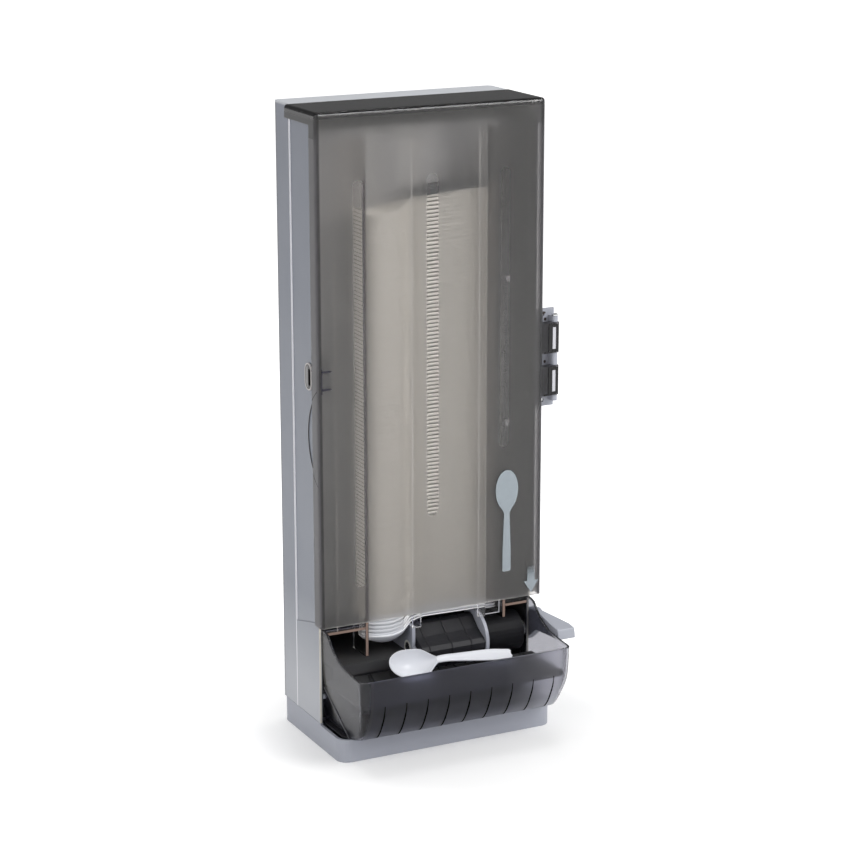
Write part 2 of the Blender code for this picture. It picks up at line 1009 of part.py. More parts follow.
def make_lock():
    outer = -recess_side - gap
    bezel = plate(
        "lock_bezel",
        shifted(stadium(bezel_radius, lock_half_height), lock_y, lock_height),
        outer - bezel_flange,
        outer,
        along_yz,
    )
    neck = plate(
        "bezel_neck",
        shifted(
            stadium(bezel_radius - bezel_border - gap, lock_half_height - bezel_border - gap),
            lock_y,
            lock_height,
        ),
        outer - bezel_flange / 2,
        -inner_side,
        along_yz,
    )
    join(bezel, neck)
    slot = shifted(stadium(slot_half_width, slot_half_height), lock_y - slot_forward, lock_height)
    cut(bezel, plate("bezel_slot", slot, outer - bezel_flange - overrun, -inner_side + overrun, along_yz))
    grey(bezel)
    body = block(
        "lock_body",
        (lock_body_left, lock_y - lock_body_half_width, lock_height - lock_body_half_height),
        (
            lock_body_left + lock_body_depth,
            lock_y + lock_body_half_width,
            lock_height + lock_body_half_height,
        ),
    )
    guide_way = block(
        "tongue_way",
        (
            tongue_left - gap,
            lock_y - lock_body_half_width - overrun,
            lock_height - tongue_half_height - gap,
        ),
        (
            tongue_left + tongue_thickness + tongue_travel + gap,
            lock_y + tongue_tail + gap,
            lock_height + tongue_half_height + gap,
        ),
    )
    body_slot = plate(
        "body_slot",
        shifted(stadium(slot_half_width, tongue_half_height), lock_y - slot_forward, lock_height),
        lock_body_left - overrun,
        tongue_left,
        along_yz,
    )
    cut(body, guide_way, body_slot)
    dark(body)
    tongue = block(
        "latch_tongue",
        (tongue_left, lock_y - tongue_nose, lock_height - tongue_half_height),
        (tongue_left + tongue_thickness, lock_y + tongue_tail, lock_height + tongue_half_height),
    )
    return white(tongue)


def magazine_screw_places():
    return (("lower", magazine_screw_low), ("upper", magazine_screw_high))


def magazine_screw_x():
    return guide_right_inner + magazine_screw_side


def guide_outline(low):
    """A guide's side view: full depth beside the chassis, shorter below it."""
    front = cover_front + guide_front
    back = cover_front + chassis_setback - gap
    foot_back = front + guide_foot_depth
    step = chassis_low + gap
    return (
        (front, low),
        (foot_back, low),
        (foot_back, step),
        (back, step),
        (back, guide_high),
        (front, guide_high),
    )


def make_guides():
    front = cover_front + guide_front
    left = plate(
        "magazine_guide_left",
        guide_outline(guide_left_low),
        -guide_left_inner - guide_wall,
        -guide_left_inner,
        along_yz,
    )
    outer = -guide_left_inner - guide_wall / 2
    join(
        left,
        block(
            "left_flange",
            (outer - guide_left_flange_reach, front, guide_flange_low),
            (outer, front + guide_flange, guide_high),
        ),
        block(
            "left_ledge",
            (outer - guide_ledge_reach, front, guide_flange_low),
            (outer, front + guide_ledge_depth, guide_flange_low + guide_ledge),
        ),
    )
    clear(left)
    right = plate(
        "magazine_guide_right",
        guide_outline(guide_right_low),
        guide_right_inner,
        guide_right_inner + guide_wall,
        along_yz,
    )
    outer = guide_right_inner + guide_wall / 2
    join(
        right,
        block(
            "right_flange",
            (outer, front, guide_flange_low),
            (outer + guide_right_flange_reach, front + guide_flange, guide_high),
        ),
        block(
            "right_ledge",
            (outer, front, guide_flange_low),
            (outer + guide_right_flange_reach, front + guide_ledge_depth, guide_flange_low + guide_ledge),
        ),
    )
    x = magazine_screw_x()
    for label, z in magazine_screw_places():
        start = front + guide_flange / 2
        back = cover_front + chassis_setback - gap
        boss = rod(f"guide_boss_{label}", (x, start, z), (x, back, z), magazine_boss_radius, 24)
        flat = block(
            f"guide_boss_flat_{label}",
            (x - 2 * magazine_boss_radius, start - overrun, z - 2 * magazine_boss_radius),
            (guide_right_inner + guide_wall / 3, back + overrun, z + 2 * magazine_boss_radius),
        )
        join(right, cut(boss, flat))
        cut(
            right,
            rod(
                f"guide_boss_hole_{label}",
                (x, front - overrun, z),
                (x, cover_front + chassis_setback, z),
                hole_radius,
            ),
        )
        reach = chassis_setback - guide_front + chassis_plate
        screw(f"magazine_screw_{label}", (x, front - gap, z), (0, 1, 0), reach)
    clear(right)


def drum_outline():
    return [(rotor_y + drum_radius * y, rotor_height + drum_radius * z) for y, z in drum_outline_shares]


def across_rotor(x):
    """The point on the rotor's axis at a distance to the right."""
    return (x, rotor_y, rotor_height)


def shaft_bore(name, low, high):
    return rod(name, across_rotor(low - overrun), across_rotor(high + overrun), shaft_radius + pivot_gap)


def make_rotor():
    """The shaft with its drum, flange and drive drum. The lever turns them all."""
    shaft = rod("rotor_shaft", across_rotor(partition_left), across_rotor(shaft_right), shaft_radius)
    hole_ends = (across_rotor(shaft_right - screw_length), across_rotor(shaft_right + overrun))
    cut(shaft, rod("shaft_screw_hole", *hole_ends, hole_radius))
    steel(shaft)
    drum = plate("rotor_drum", drum_outline(), drum_left, drum_right, along_yz)
    cut(drum, shaft_bore("drum_bore", drum_left, drum_right))
    dark(drum)
    flange_left = drum_right + rotor_step
    flange_right = flange_left + flange_thickness
    flange = rod("rotor_flange", across_rotor(flange_left), across_rotor(flange_right), flange_radius, 40)
    cut(flange, shaft_bore("flange_bore", flange_left, flange_right))
    grey(flange)
    drive_left = flange_right + rotor_step
    drive_ends = (across_rotor(drive_left), across_rotor(drive_drum_right))
    drive = rod("drive_drum", *drive_ends, drive_drum_radius, 32)
    cut(drive, shaft_bore("drive_bore", drive_left, drive_drum_right))
    dark(drive)
    return [shaft, drum, flange, drive]


def bush(name, left, right):
    outer = shaft_radius + pivot_gap + bush_wall
    ring = rod(name, across_rotor(left), across_rotor(right), outer)
    cut(ring, shaft_bore(name + "_bore", left, right))
    return white(ring)


def make_bearings():
    bush("bush_left", partition_left, partition_left + partition_wall)
    bush("bush_right", inner_side, side)
    outline = (
        (cover_front + partition_setback, partition_top),
        (cover_front + partition_setback, partition_neck_low),
        (cover_front + partition_foot_front, partition_foot_top),
        (cover_front + partition_foot_front, partition_foot_low),
        (housing_front, partition_foot_low),
        (housing_front, base_floor + gap),
        (cover_front + partition_back, base_floor + gap),
        (cover_front + partition_back, partition_top),
    )
    partition = plate(
        "neck_partition", outline, partition_left, partition_left + partition_wall, along_yz
    )
    cut(
        partition,
        rod(
            "partition_hole",
            across_rotor(partition_left - overrun),
            across_rotor(partition_left + partition_wall + overrun),
            shaft_radius + bush_wall + 2 * gap,
        ),
    )
    grey(partition)


def make_spring():
    """The lever's return spring: one wire wound round the shaft between the drive drum and the wall."""
    start = drive_drum_right + spring_wire + gap
    end = inner_side - spring_wire - gap
    count = spring_turns * spring_points
    curve = bpy.data.curves.new("return_spring", "CURVE")
    curve.dimensions = "3D"
    curve.bevel_depth = spring_wire
    curve.bevel_resolution = 1
    curve.use_fill_caps = True
    spline = curve.splines.new("POLY")
    spline.points.add(count)
    for i, point in enumerate(spline.points):
        angle = 2 * math.pi * i / spring_points
        x = start + (end - start) * i / count
        point.co = (
            x,
            rotor_y + spring_radius * math.cos(angle),
            rotor_height + spring_radius * math.sin(angle),
            1,
        )
    guide = bpy.data.objects.new("return_spring_wire", curve)
    parts.objects.link(guide)
    return steel(meshed(guide, "return_spring"))


def make_lever():
    inner = side + lever_side_gap
    hub_outer = inner + lever_hub_width
    lever_middle_width = (lever_root_width + lever_tip_width) / 2
    lever_middle_reach = (lever_flare_reach + lever_root_reach) / 2
    tip = rotor_y - lever_reach
    hub_steps = 10
    start, sweep = -math.pi / 2, math.pi
    hub = [
        (
            rotor_y + lever_hub_radius * math.cos(start + sweep * i / hub_steps),
            rotor_height + lever_hub_radius * math.sin(start + sweep * i / hub_steps),
        )
        for i in range(hub_steps + 1)
    ]
    side_view = hub + [
        (rotor_y, rotor_height + lever_crest - overrun),
        (rotor_y - lever_root_reach / 2, rotor_height + lever_crest),
        (rotor_y - lever_root_reach, rotor_height + lever_crest),
        (rotor_y - lever_flare_reach, rotor_height + (lever_tip_top + lever_crest) / 2 - overrun),
        (tip, rotor_height + lever_tip_top),
        (tip - overrun, rotor_height + lever_tip_bottom),
        (rotor_y - lever_flare_reach, rotor_height + lever_tip_bottom),
        (rotor_y - lever_root_reach, rotor_height + lever_tip_bottom / 2),
    ]
    lever = plate("lever", side_view, inner - overrun, side + 2 * lever_tip_width, along_yz)
    top_view = (
        (inner, rotor_y + 2 * lever_hub_radius),
        (inner, tip - 2 * overrun),
        (inner + lever_tip_width, tip - overrun),
        (inner + lever_tip_width, rotor_y - lever_flare_reach),
        (inner + lever_middle_width, rotor_y - lever_middle_reach),
        (inner + lever_root_width, rotor_y - lever_root_reach),
        (hub_outer, rotor_y - lever_hub_radius),
        (hub_outer, rotor_y + 2 * lever_hub_radius),
    )
    plan = plate(
        "lever_plan",
        top_view,
        rotor_height - 2 * lever_hub_radius,
        rotor_height + 2 * lever_crest,
    )
    combine(lever, plan, "INTERSECT")
    cut(
        lever,
        rod(
            "lever_bore",
            across_rotor(inner - overrun),
            across_rotor(shaft_right + gap),
            shaft_radius + pivot_gap,
        ),
        rod("lever_screw_hole", across_rotor(inner), across_rotor(hub_outer + overrun), hole_radius),
    )
    edge = lever.modifiers.new("soft_edges", "BEVEL")
    edge.width = lever_edge
    edge.segments = 2
    edge.limit_method = "ANGLE"
    edge.angle_limit = math.radians(50)
    grey(lever)
    bolt = screw("lever_screw", across_rotor(hub_outer + gap), (-1, 0, 0))
    return [lever, bolt]


def make_deck():
    """The dark ledge behind the tray, on two legs that stand on the base."""
    front = cover_front + partition_setback
    back = cover_front + deck_back
    floor = base_floor + gap
    outline = (
        (front, partition_foot_low),
        (front, deck_top),
        (back, deck_top),
        (back, floor),
        (back - deck_wall, floor),
        (back - deck_wall, deck_top - deck_wall),
        (housing_front + deck_wall, deck_top - deck_wall),
        (housing_front + deck_wall, floor),
        (housing_front, floor),
        (housing_front, partition_foot_low),
    )
    return dark(plate("deck", outline, deck_left, partition_left - gap, along_yz))


def tray_levels():
    """The tray's outer shape from its foot to above its lip.

    Each level is its reach before the cover's face, its height and its half width.
    """
    return (
        (tray_foot_reach, kerb_height + tray_foot_gap, tray_foot_half_width),
        (tray_toe_reach, tray_toe_height, tray_foot_half_width),
        (tray_shin_reach, tray_shin_height, tray_shin_half_width),
        (tray_waist_reach, tray_waist_height, tray_waist_half_width),
        (tray_belly_reach, tray_belly_height, tray_belly_half_width),
        (tray_lip_reach, tray_lip_height, tray_lip_half_width),
        (tray_lip_reach, tray_ear_top + 2 * overrun, tray_lip_half_width),
    )


def tray_ring(reach, half_width, inset, back):
    """One level's outline: straight sides, two rounded front corners and a straight back."""
    front = cover_front - reach + inset
    across = half_width - inset
    radius = tray_corner - inset
    turns = [math.pi / 2 * i / 4 for i in range(5)]
    left = [(-across + radius - radius * math.cos(a), front + radius - radius * math.sin(a)) for a in turns]
    right = [(-x, y) for x, y in reversed(left)]
    return [(-across, back)] + left + right + [(across, back)]


def tray_loft(name, inset, lift, back):
    """A closed solid through the tray's levels, drawn in by the inset and lifted off the foot."""
    mesh = bmesh.new()
    rings = []
    for reach, up, half_width in tray_levels():
        outline = tray_ring(reach, half_width, inset, back)
        rings.append([mesh.verts.new((x, y, up + lift)) for x, y in outline])
    for lower, upper in zip(rings, rings[1:]):
        for i in range(len(lower)):
            j = (i + 1) % len(lower)
            mesh.faces.new((lower[i], lower[j], upper[j], upper[i]))
    mesh.faces.new(rings[0])
    mesh.faces.new(rings[-1])
    return piece_from(name, mesh)


def make_tray():
    tray = tray_loft("tray", 0, 0, tray_back)
    top = tray_ear_top + 4 * tray_wall
    lip = cover_front - tray_lip_reach
    run = tray_lip_reach + tray_ear_front
    rise = tray_ear_crest - tray_lip_height
    rim = [(lip + along * run, tray_lip_height + up * rise) for along, up in tray_rim_shares]
    profile = [
        (lip - overrun, tray_lip_height),
        *rim,
        (tray_back + overrun, tray_ear_top),
        (tray_back + overrun, top),
        (lip - overrun, top),
    ]
    reach = tray_lip_half_width + overrun
    cut(
        tray,
        tray_loft("tray_inside", tray_wall, tray_wall, tray_back + overrun),
        plate("tray_rim_cut", profile, -reach, reach, along_yz),
    )
    sole_low = kerb_height + tray_foot_gap
    sole = block(
        "tray_sole",
        (-side + sole_side_gap, base_front + sole_front_gap, sole_low),
        (side - sole_side_gap, tray_back, sole_low + sole_plate),
        radius=sole_corner,
        axis=2,
        segments=4,
        sharp=((1, 1),),
    )
    join(tray, sole)
    pin_y = cover_front + pin_setback
    for hand, label in ((-1, "left"), (1, "right")):
        low, high = sorted((hand * ear_side, hand * (ear_side + ear_wall)))
        join(
            tray,
            block(
                f"tray_ear_{label}",
                (low, tray_back - ear_reach, pin_height - ear_half_height),
                (high, pin_y + ear_reach, pin_height + ear_half_height),
            ),
        )
        clearance = pin_radius + gap
        cut(
            tray,
            rod(
                f"ear_slot_end_{label}",
                (hand * (ear_side - overrun), pin_y, pin_height),
                (hand * (ear_side + ear_wall + overrun), pin_y, pin_height),
                clearance,
            ),
            block(
                f"ear_slot_{label}",
                (low - overrun, pin_y, pin_height - clearance),
                (high + overrun, pin_y + ear_reach + overrun, pin_height + clearance),
            ),
        )
        grey(
            rod(
                f"tray_pin_{label}",
                (hand * (inner_side - gap), pin_y, pin_height),
                (hand * (inner_side - gap - pin_reach), pin_y, pin_height),
                pin_radius,
            )
        )
    smoke(tray)
    notch = partition_left - gap
    back = cover_front + partition_setback - gap
    floor_front = cover_front - tray_floor_front
    corner = tray_corner - tray_wall
    outline = (
        (-tray_floor_side, back),
        (-tray_floor_side, floor_front + corner),
        (-tray_floor_side + corner, floor_front),
        (tray_floor_side - corner, floor_front),
        (tray_floor_side, floor_front + corner),
        (tray_floor_side, cover_front - tray_floor_notch),
        (notch, cover_front - tray_floor_notch),
        (notch, back),
    )
    floor = plate("tray_floor", outline, tray_floor_top - tray_floor_plate, tray_floor_top)
    return [tray, dark(floor)]


def smooth_share(value):
    value = min(max(value, 0), 1)
    return value * value * (3 - 2 * value)


def spoon_half_width(along):
    """Half of the spoon's width at a distance from the bowl's tip."""
    bowl_half = spoon_bowl_length / 2
    across = 1 - ((along - bowl_half) / bowl_half) ** 2
    bowl = spoon_bowl_half_width * math.sqrt(max(across, 0))
    if along <= bowl_half:
        return bowl
    into_handle = smooth_share((along - bowl_half) / bowl_half)
    handle_share = (along - spoon_bowl_length) / (spoon_length - spoon_bowl_length)
    handle = spoon_neck_half_width + (spoon_end_half_width - spoon_neck_half_width) * max(handle_share, 0)
    left = spoon_length - along
    rounding = min(left / spoon_end_half_width, 1)
    handle *= math.sqrt(max(1 - (1 - rounding) ** 2, 0))
    return max(bowl * (1 - into_handle) + handle * into_handle, handle * into_handle)


def spoon_height(along, lane_share):
    """The upper face's height over the handle's level."""
    bowl_half = spoon_bowl_length / 2
    sink = 1 - smooth_share((along - bowl_half) / (2 * bowl_half))
    rim = -spoon_bowl_drop * sink
    across = max(1 - ((along - bowl_half) / bowl_half) ** 2, 0)
    hollow = spoon_bowl_depth * across + spoon_channel * (1 - sink)
    return rim - hollow * (1 - lane_share * lane_share)


def groove_levels(height):
    """The side's levels from low to high, each as a share of the height and how deep it is sunk."""
    count = max(round(height / stack_rib_pitch), 1)
    half = stack_groove_half_height / height
    levels = []
    for i in range(count):
        middle = (i + 0.5) / count
        levels += [(middle - half, 0), (middle, stack_groove_depth), (middle + half, 0)]
    return levels


def spoon_solid(name, low, low_fan, high, high_fan, grooves=False, place=None):
    """A closed solid from the lower face of one spoon to the upper face of another that lies above it.

    The grooves run round its sides, as the gaps between nested groups of spoons do.
    """
    mesh = bmesh.new()
    under_level = low - spoon_thickness
    height = high - under_level

    def point(i, j, share, sink):
        part = i / spoon_stations
        along = spoon_length * (part + (smooth_share(part) - part) / 2)
        half = max(spoon_half_width(along), spoon_thickness / 4)
        lane = 2 * j / spoon_lanes - 1
        level = under_level + share * height
        fan = low_fan + share * (high_fan - low_fan)
        up = level + fan * along + spoon_height(along, lane)
        drawn_in = sink + along * (1 - 2 * sink / spoon_length)
        across = lane * (half - min(sink, stack_groove_most_share * half))
        return mesh.verts.new((drawn_in, across, up))

    def face_rows(share):
        rows = range(spoon_stations + 1)
        return [[point(i, j, share, 0) for j in range(spoon_lanes + 1)] for i in rows]

    under, over = face_rows(0), face_rows(1)
    for i in range(spoon_stations):
        for j in range(spoon_lanes):
            mesh.faces.new((under[i][j], under[i + 1][j], under[i + 1][j + 1], under[i][j + 1]))
            mesh.faces.new((over[i][j], over[i][j + 1], over[i + 1][j + 1], over[i + 1][j]))
    last, far = spoon_stations, spoon_lanes
    rim = [(0, j) for j in range(far)]
    rim += [(i, far) for i in range(last)]
    rim += [(last, far - j) for j in range(far)]
    rim += [(last - i, 0) for i in range(last)]
    rings = [[under[i][j] for i, j in rim]]
    for share, sink in groove_levels(height) if grooves else ():
        rings.append([point(i, j, share, sink) for i, j in rim])
    rings.append([over[i][j] for i, j in rim])
    for lower, upper in zip(rings, rings[1:]):
        for a in range(len(rim)):
            b = (a + 1) % len(rim)
            mesh.faces.new((lower[a], upper[a], upper[b], lower[b]))
    return white(piece_from(name, mesh, place))


def make_stack():
    place = Matrix.Translation((stack_left, cover_front + stack_setback, 0))
    rise = stack_top - stack_bottom
    between = [stack_bottom + share * rise for share in stack_level_shares]
    levels = (stack_bottom + spoon_thickness, *between, stack_top)
    names = ("spoon_bundle_first", "spoon_bundle_second", "spoon_bundle_third", "spoon_bundle_top")
    for name, low, high in zip(names, levels, levels[1:]):
        start = low if low == levels[0] else low + spoon_thickness + gap
        low_fan = stack_fan * (low - stack_bottom) / rise
        high_fan = stack_fan * (high - stack_bottom) / rise
        spoon_solid(name, start, low_fan, high, high_fan, True, place)


def make_weight():
    """The bar that rests on the handles of the stack and presses them down."""
    tilt = math.atan(stack_fan)
    centre_x = (weight_left + weight_right) / 2
    level = stack_top + stack_fan * (centre_x - stack_left) + gap + weight_height / 2
    half = (weight_right - weight_left) / 2
    bar = block(
        "stack_weight",
        (-half, -weight_half_depth, -weight_height / 2),
        (half, weight_half_depth, weight_height / 2),
        radius=weight_edge,
        segments=2,
    )
    place = Vector((centre_x, cover_front + stack_setback, level))
    bar.matrix_world = Matrix.Translation(place) @ Matrix.Rotation(-tilt, 4, "Y")
    return dark(bar)


def make_loose_spoon():
    """A spoon that lies in the tray on its bowl and its handle's end, rolled over towards the front."""
    spoon = spoon_solid("loose_spoon", 0, 0, 0, 0)
    roll = Matrix.Rotation(loose_roll, 4, "X")
    rolled = [roll @ vertex.co for vertex in spoon.data.vertices]
    belly = min(rolled, key=lambda corner: corner.z)
    end = min((c for c in rolled if c.x > spoon_length - spoon_end_half_width), key=lambda corner: corner.z)
    fall = math.atan((end.z - belly.z) / (end.x - belly.x))
    turn = Matrix.Rotation(loose_yaw, 4, "Z") @ Matrix.Rotation(fall, 4, "Y") @ roll
    lowest = min((turn @ vertex.co).z for vertex in spoon.data.vertices)
    place = Vector((loose_tip_x, cover_front + loose_tip_setback, tray_floor_top + gap - lowest))
    spoon.matrix_world = Matrix.Translation(place) @ turn
    return spoon


def build():
    clear_scene()
    make_base()
    make_housing()
    make_chassis()
    make_hinge()
    door = carrier("door_axis", (hinge_x, hinge_y, 0))
    carry(door, make_cover(), make_catch(), *make_retainers())
    latch = carrier("latch_axis", (tongue_left, lock_y, lock_height))
    carry(latch, make_lock())
    make_guides()
    rotor = carrier("rotor_axis", (0, rotor_y, rotor_height))
    carry(rotor, *make_rotor(), *make_lever())
    make_bearings()
    make_spring()
    make_deck()
    slide = carrier("tray_axis", (0, tray_back, kerb_height))
    carry(slide, *make_tray())
    make_stack()
    lift = carrier("weight_axis", (0, cover_front + stack_setback, stack_top))
    carry(lift, make_weight())
    spoon_way = carrier("spoon_axis", (0, cover_front, tray_floor_top))
    carry(spoon_way, make_loose_spoon())


build()
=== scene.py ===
"""Looks of a lever-worked dispenser for spoons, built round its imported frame. Metres, +Z up."""
import math
import random

import bmesh
import bpy
from mathutils import Matrix, Vector


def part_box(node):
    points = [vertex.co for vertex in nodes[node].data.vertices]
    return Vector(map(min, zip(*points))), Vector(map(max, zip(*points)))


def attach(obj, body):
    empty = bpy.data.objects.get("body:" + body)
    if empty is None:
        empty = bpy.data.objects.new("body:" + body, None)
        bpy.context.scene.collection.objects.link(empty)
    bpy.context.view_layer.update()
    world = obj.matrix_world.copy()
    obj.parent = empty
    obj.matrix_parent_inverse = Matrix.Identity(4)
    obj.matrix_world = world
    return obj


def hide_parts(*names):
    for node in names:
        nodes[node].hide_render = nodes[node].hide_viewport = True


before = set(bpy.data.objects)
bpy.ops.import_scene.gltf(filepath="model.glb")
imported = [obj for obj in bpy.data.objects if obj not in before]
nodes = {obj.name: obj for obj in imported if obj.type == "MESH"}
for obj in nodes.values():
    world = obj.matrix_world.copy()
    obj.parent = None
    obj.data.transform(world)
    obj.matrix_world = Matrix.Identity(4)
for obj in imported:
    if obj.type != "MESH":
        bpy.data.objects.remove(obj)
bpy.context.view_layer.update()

# Places taken from the frame
cover_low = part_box("front_cover")[0].z
cover_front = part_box("front_cover")[0].y
tray_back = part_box("tray")[1].y
tray_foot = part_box("tray")[0].z
floor_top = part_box("tray_floor")[1].z
stack_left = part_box("spoon_bundle_first")[0].x
stack_middle = cover_front + 0.024
rotor_middle = Vector((0, cover_front + 0.023, 0.086))

# Camera, as the photograph was taken
lens = 105.88
sensor = 36
camera_yaw = math.radians(-26.6)
camera_pitch = math.radians(14.94)
camera_roll = math.radians(-0.10)
camera_place = Vector((-1.0544, -2.12505, 0.9427))

# Tray, as points of its outer skin: reach before the cover's face, height and half width
tray_wall = 0.0022
tray_profile = (
    (0.0346, 0.0238, 0.1085),
    (0.0506, 0.0286, 0.1085),
    (0.0587, 0.0335, 0.1090),
    (0.0673, 0.0460, 0.1105),
    (0.0747, 0.0655, 0.1135),
    (0.0760, 0.0960, 0.1150),
    (0.0760, 0.1245, 0.1150),
)
lip_level = 5
tray_lip_reach = 0.076
tray_lip_height = 0.096
tray_ear_crest = 0.1205
tray_ear_front = 0.0005
tray_ear_top = 0.1225
tray_rim_shares = (
    (0.00, 0.000),
    (0.22, 0.024),
    (0.40, 0.065),
    (0.51, 0.105),
    (0.61, 0.170),
    (0.72, 0.300),
    (0.83, 0.490),
    (0.94, 0.760),
    (1.00, 1.000),
)
tray_corner_lip = 0.008
tray_corner_foot = 0.006
groove_count = 9
groove_first = -0.0894
groove_pitch = 0.02303
groove_half_width = 0.0008
tray_notch = 0.0072
tray_notch_low = 0.0455
tray_notch_high = 0.0585
tray_notch_turn = 0.002
groove_top = 0.0690
groove_bottom = 0.0275

# Spoons
spoon_length = 0.147
spoon_bowl_length = 0.046
spoon_bowl_reach = 0.0535
spoon_bowl_half_width = 0.0155
spoon_neck_half_width = 0.0033
spoon_end_half_width = 0.0060
spoon_bowl_drop = 0.010
spoon_bowl_depth = 0.011
spoon_channel = 0.0010
spoon_thickness = 0.0012
spoon_end_round = 0.0025
stack_bottom = 0.116
stack_top = 0.537
stack_fan = 0.054
stack_level_shares = (0.28266, 0.54394, 0.87648)
stack_pitch = 0.0038
loose_tip_x = -0.053
loose_tip_setback = -0.0225
loose_yaw = math.radians(6)
loose_roll = math.radians(45)
loose_length_share = 0.945
stack_lip = 0.0025
lowest_lift = 0.0009

# Cover: the clear windows as centre, half width, low end and high end
windows = (
    (-0.0780, 0.0063, 0.1647, 0.5636),
    (0.0000, 0.0064, 0.2265, 0.5647),
    (0.0786, 0.0055, 0.2863, 0.5648),
)
window_blur = 0.0004
knuckle_reaches = ((0.3330, 0.3625), (0.3760, 0.4060))

# Guides
guide_wall = 0.0035
ledge_low = 0.1190
ledge_high = 0.1215

# Housing: the side recess's rear edge and the round finger scallop
recess_reach = 0.070
scallop_setback = -0.0201
scallop_height = 0.315
scallop_radius = 0.057

mark_thickness = 0.00015

# Finishes: the side's outer face, how sharply a finish changes, and the sizes of soft patches
outer_side = 0.1152
blur = 0.0002
tone_patch = 0.06
gloss_patch = 0.015
black = (0.0, 0.0, 0.0)


def srgb(red, green, blue):
    """A colour given as 0 to 255 in a picture, as the shader's linear values."""
    shares = [value / 255 for value in (red, green, blue)]
    return tuple(s / 12.92 if s <= 0.04045 else ((s + 0.055) / 1.055) ** 2.4 for s in shares)


# Shader helpers
tree = None
socket_names = {
    "alpha": "Alpha",
    "bending": "IOR",
    "coat": "Coat Weight",
    "coat_roughness": "Coat Roughness",
    "colour": "Base Color",
    "glow": "Emission Strength",
    "glow_colour": "Emission Color",
    "metal": "Metallic",
    "normal": "Normal",
    "passing": "Transmission Weight",
    "roughness": "Roughness",
    "shine": "Specular IOR Level",
}


def draw_in(owner):
    """Has the helpers below work on this material's or world's shader."""
    global tree
    owner.use_nodes = True
    tree = owner.node_tree
    return owner


def new_material(name):
    return draw_in(bpy.data.materials.new(name))


def put(kind, fed=None, **settings):
    """A shader node of the kind, set up as said, with its inputs fed by name or by place."""
    node = tree.nodes.new("ShaderNode" + kind)
    for key, value in settings.items():
        setattr(node, key, value)
    for key, value in (fed or {}).items():
        feed(node.inputs[key], value)
    return node


def feed(socket, value):
    """Links a socket to another one, or gives it a plain value."""
    if isinstance(value, bpy.types.NodeSocket):
        tree.links.new(value, socket)
    else:
        socket.default_value = value


def fill(**values):
    """Feeds sockets of the material's own shader, which go by the words above."""
    for word, value in values.items():
        feed(tree.nodes["Principled BSDF"].inputs[socket_names[word]], value)


def calc(operation, first, second=0.0):
    return put("Math", {0: first, 1: second}, operation=operation).outputs[0]


def times(first, second):
    return calc("MULTIPLY", first, second)


def plus(first, second):
    return calc("ADD", first, second)


def minus(first, second):
    return calc("SUBTRACT", first, second)


def larger(first, second):
    return calc("MAXIMUM", first, second)


def size_of(value):
    """The value without its sign."""
    return calc("ABSOLUTE", value)


def distance(first, second):
    """How far a place with these two coordinates lies from their origin."""
    return calc("SQRT", plus(calc("POWER", first, 2.0), calc("POWER", second, 2.0)))


def places():
    """The piece's own coordinates, in metres."""
    return put("TexCoord").outputs["Object"]


def axis(name):
    """One of the piece's own coordinates, in metres."""
    return put("SeparateXYZ", {0: places()}).outputs[name]


def noise(size, detail=2.0):
    """A noise whose patches are about the given size."""
    return put("TexNoise", {"Vector": places(), "Scale": 1 / size, "Detail": detail}).outputs["Fac"]


def spread(value, low, high):
    """The value, from 0 to 1, stretched to run from low to high."""
    return put("MapRange", {"Value": value, "To Min": low, "To Max": high}).outputs["Result"]


def step(value, start, end, first=0.0, last=1.0):
    """first before the start and last past the end, smooth between; the end may lie below the start."""
    ends = (start, end, first, last) if start < end else (end, start, last, first)
    fed = dict(zip(("From Min", "From Max", "To Min", "To Max"), ends))
    return put("MapRange", {"Value": value, **fed}, interpolation_type="SMOOTHSTEP").outputs["Result"]


def blend_colours(share, first, second):
    pair = [end if isinstance(end, bpy.types.NodeSocket) else (*end, 1) for end in (first, second)]
    return put("Mix", {"Factor": share, 6: pair[0], 7: pair[1]}, data_type="RGBA").outputs[2]


def layered(ground, *layers):
    """A colour with others laid over it in turn, each given with its share."""
    for share, colour in layers:
        ground = blend_colours(share, ground, colour)
    return ground


def tone_ramp(value, stops):
    """Colours that change into one another as the value grows, each given with its value."""
    low, high = stops[0][0], stops[-1][0]
    node = put("ValToRGB", {0: calc("DIVIDE", minus(value, low), high - low)})
    elements = node.color_ramp.elements
    for i, (at, colour) in enumerate(stops):
        place = (at - low) / (high - low)
        if i == 0:
            element = elements[0]
        elif i < len(stops) - 1:
            element = elements.new(place)
        else:
            element = elements[-1]
        element.position = place
        element.color = (*colour, 1)
    return node.outputs[0]


def shade(colour, factor):
    return tuple(min(channel * factor, 1) for channel in colour)


def soft_edges(radius):
    """A normal that rounds the piece's edges off."""
    return put("Bevel", {"Radius": radius}, samples=6).outputs["Normal"]


def grained(relief, edge_radius=0.0, size=0.0004):
    """Gives the surface a fine grain, and softens its edges."""
    bump = put("Bump", {"Distance": relief, "Height": noise(size, 3)})
    if edge_radius:
        feed(bump.inputs["Normal"], soft_edges(edge_radius))
    fill(normal=bump.outputs["Normal"])


def let_lamps_through(tint):
    """Lamps shine through the piece as through its tint."""
    shadow = put("LightPath").outputs["Is Shadow Ray"]
    surface = tree.nodes["Principled BSDF"].outputs[0]
    passing = put("BsdfTransparent", {"Color": (*tint, 1)}).outputs[0]
    either = put("MixShader", {0: shadow, 1: surface, 2: passing})
    feed(tree.nodes["Material Output"].inputs["Surface"], either.outputs[0])


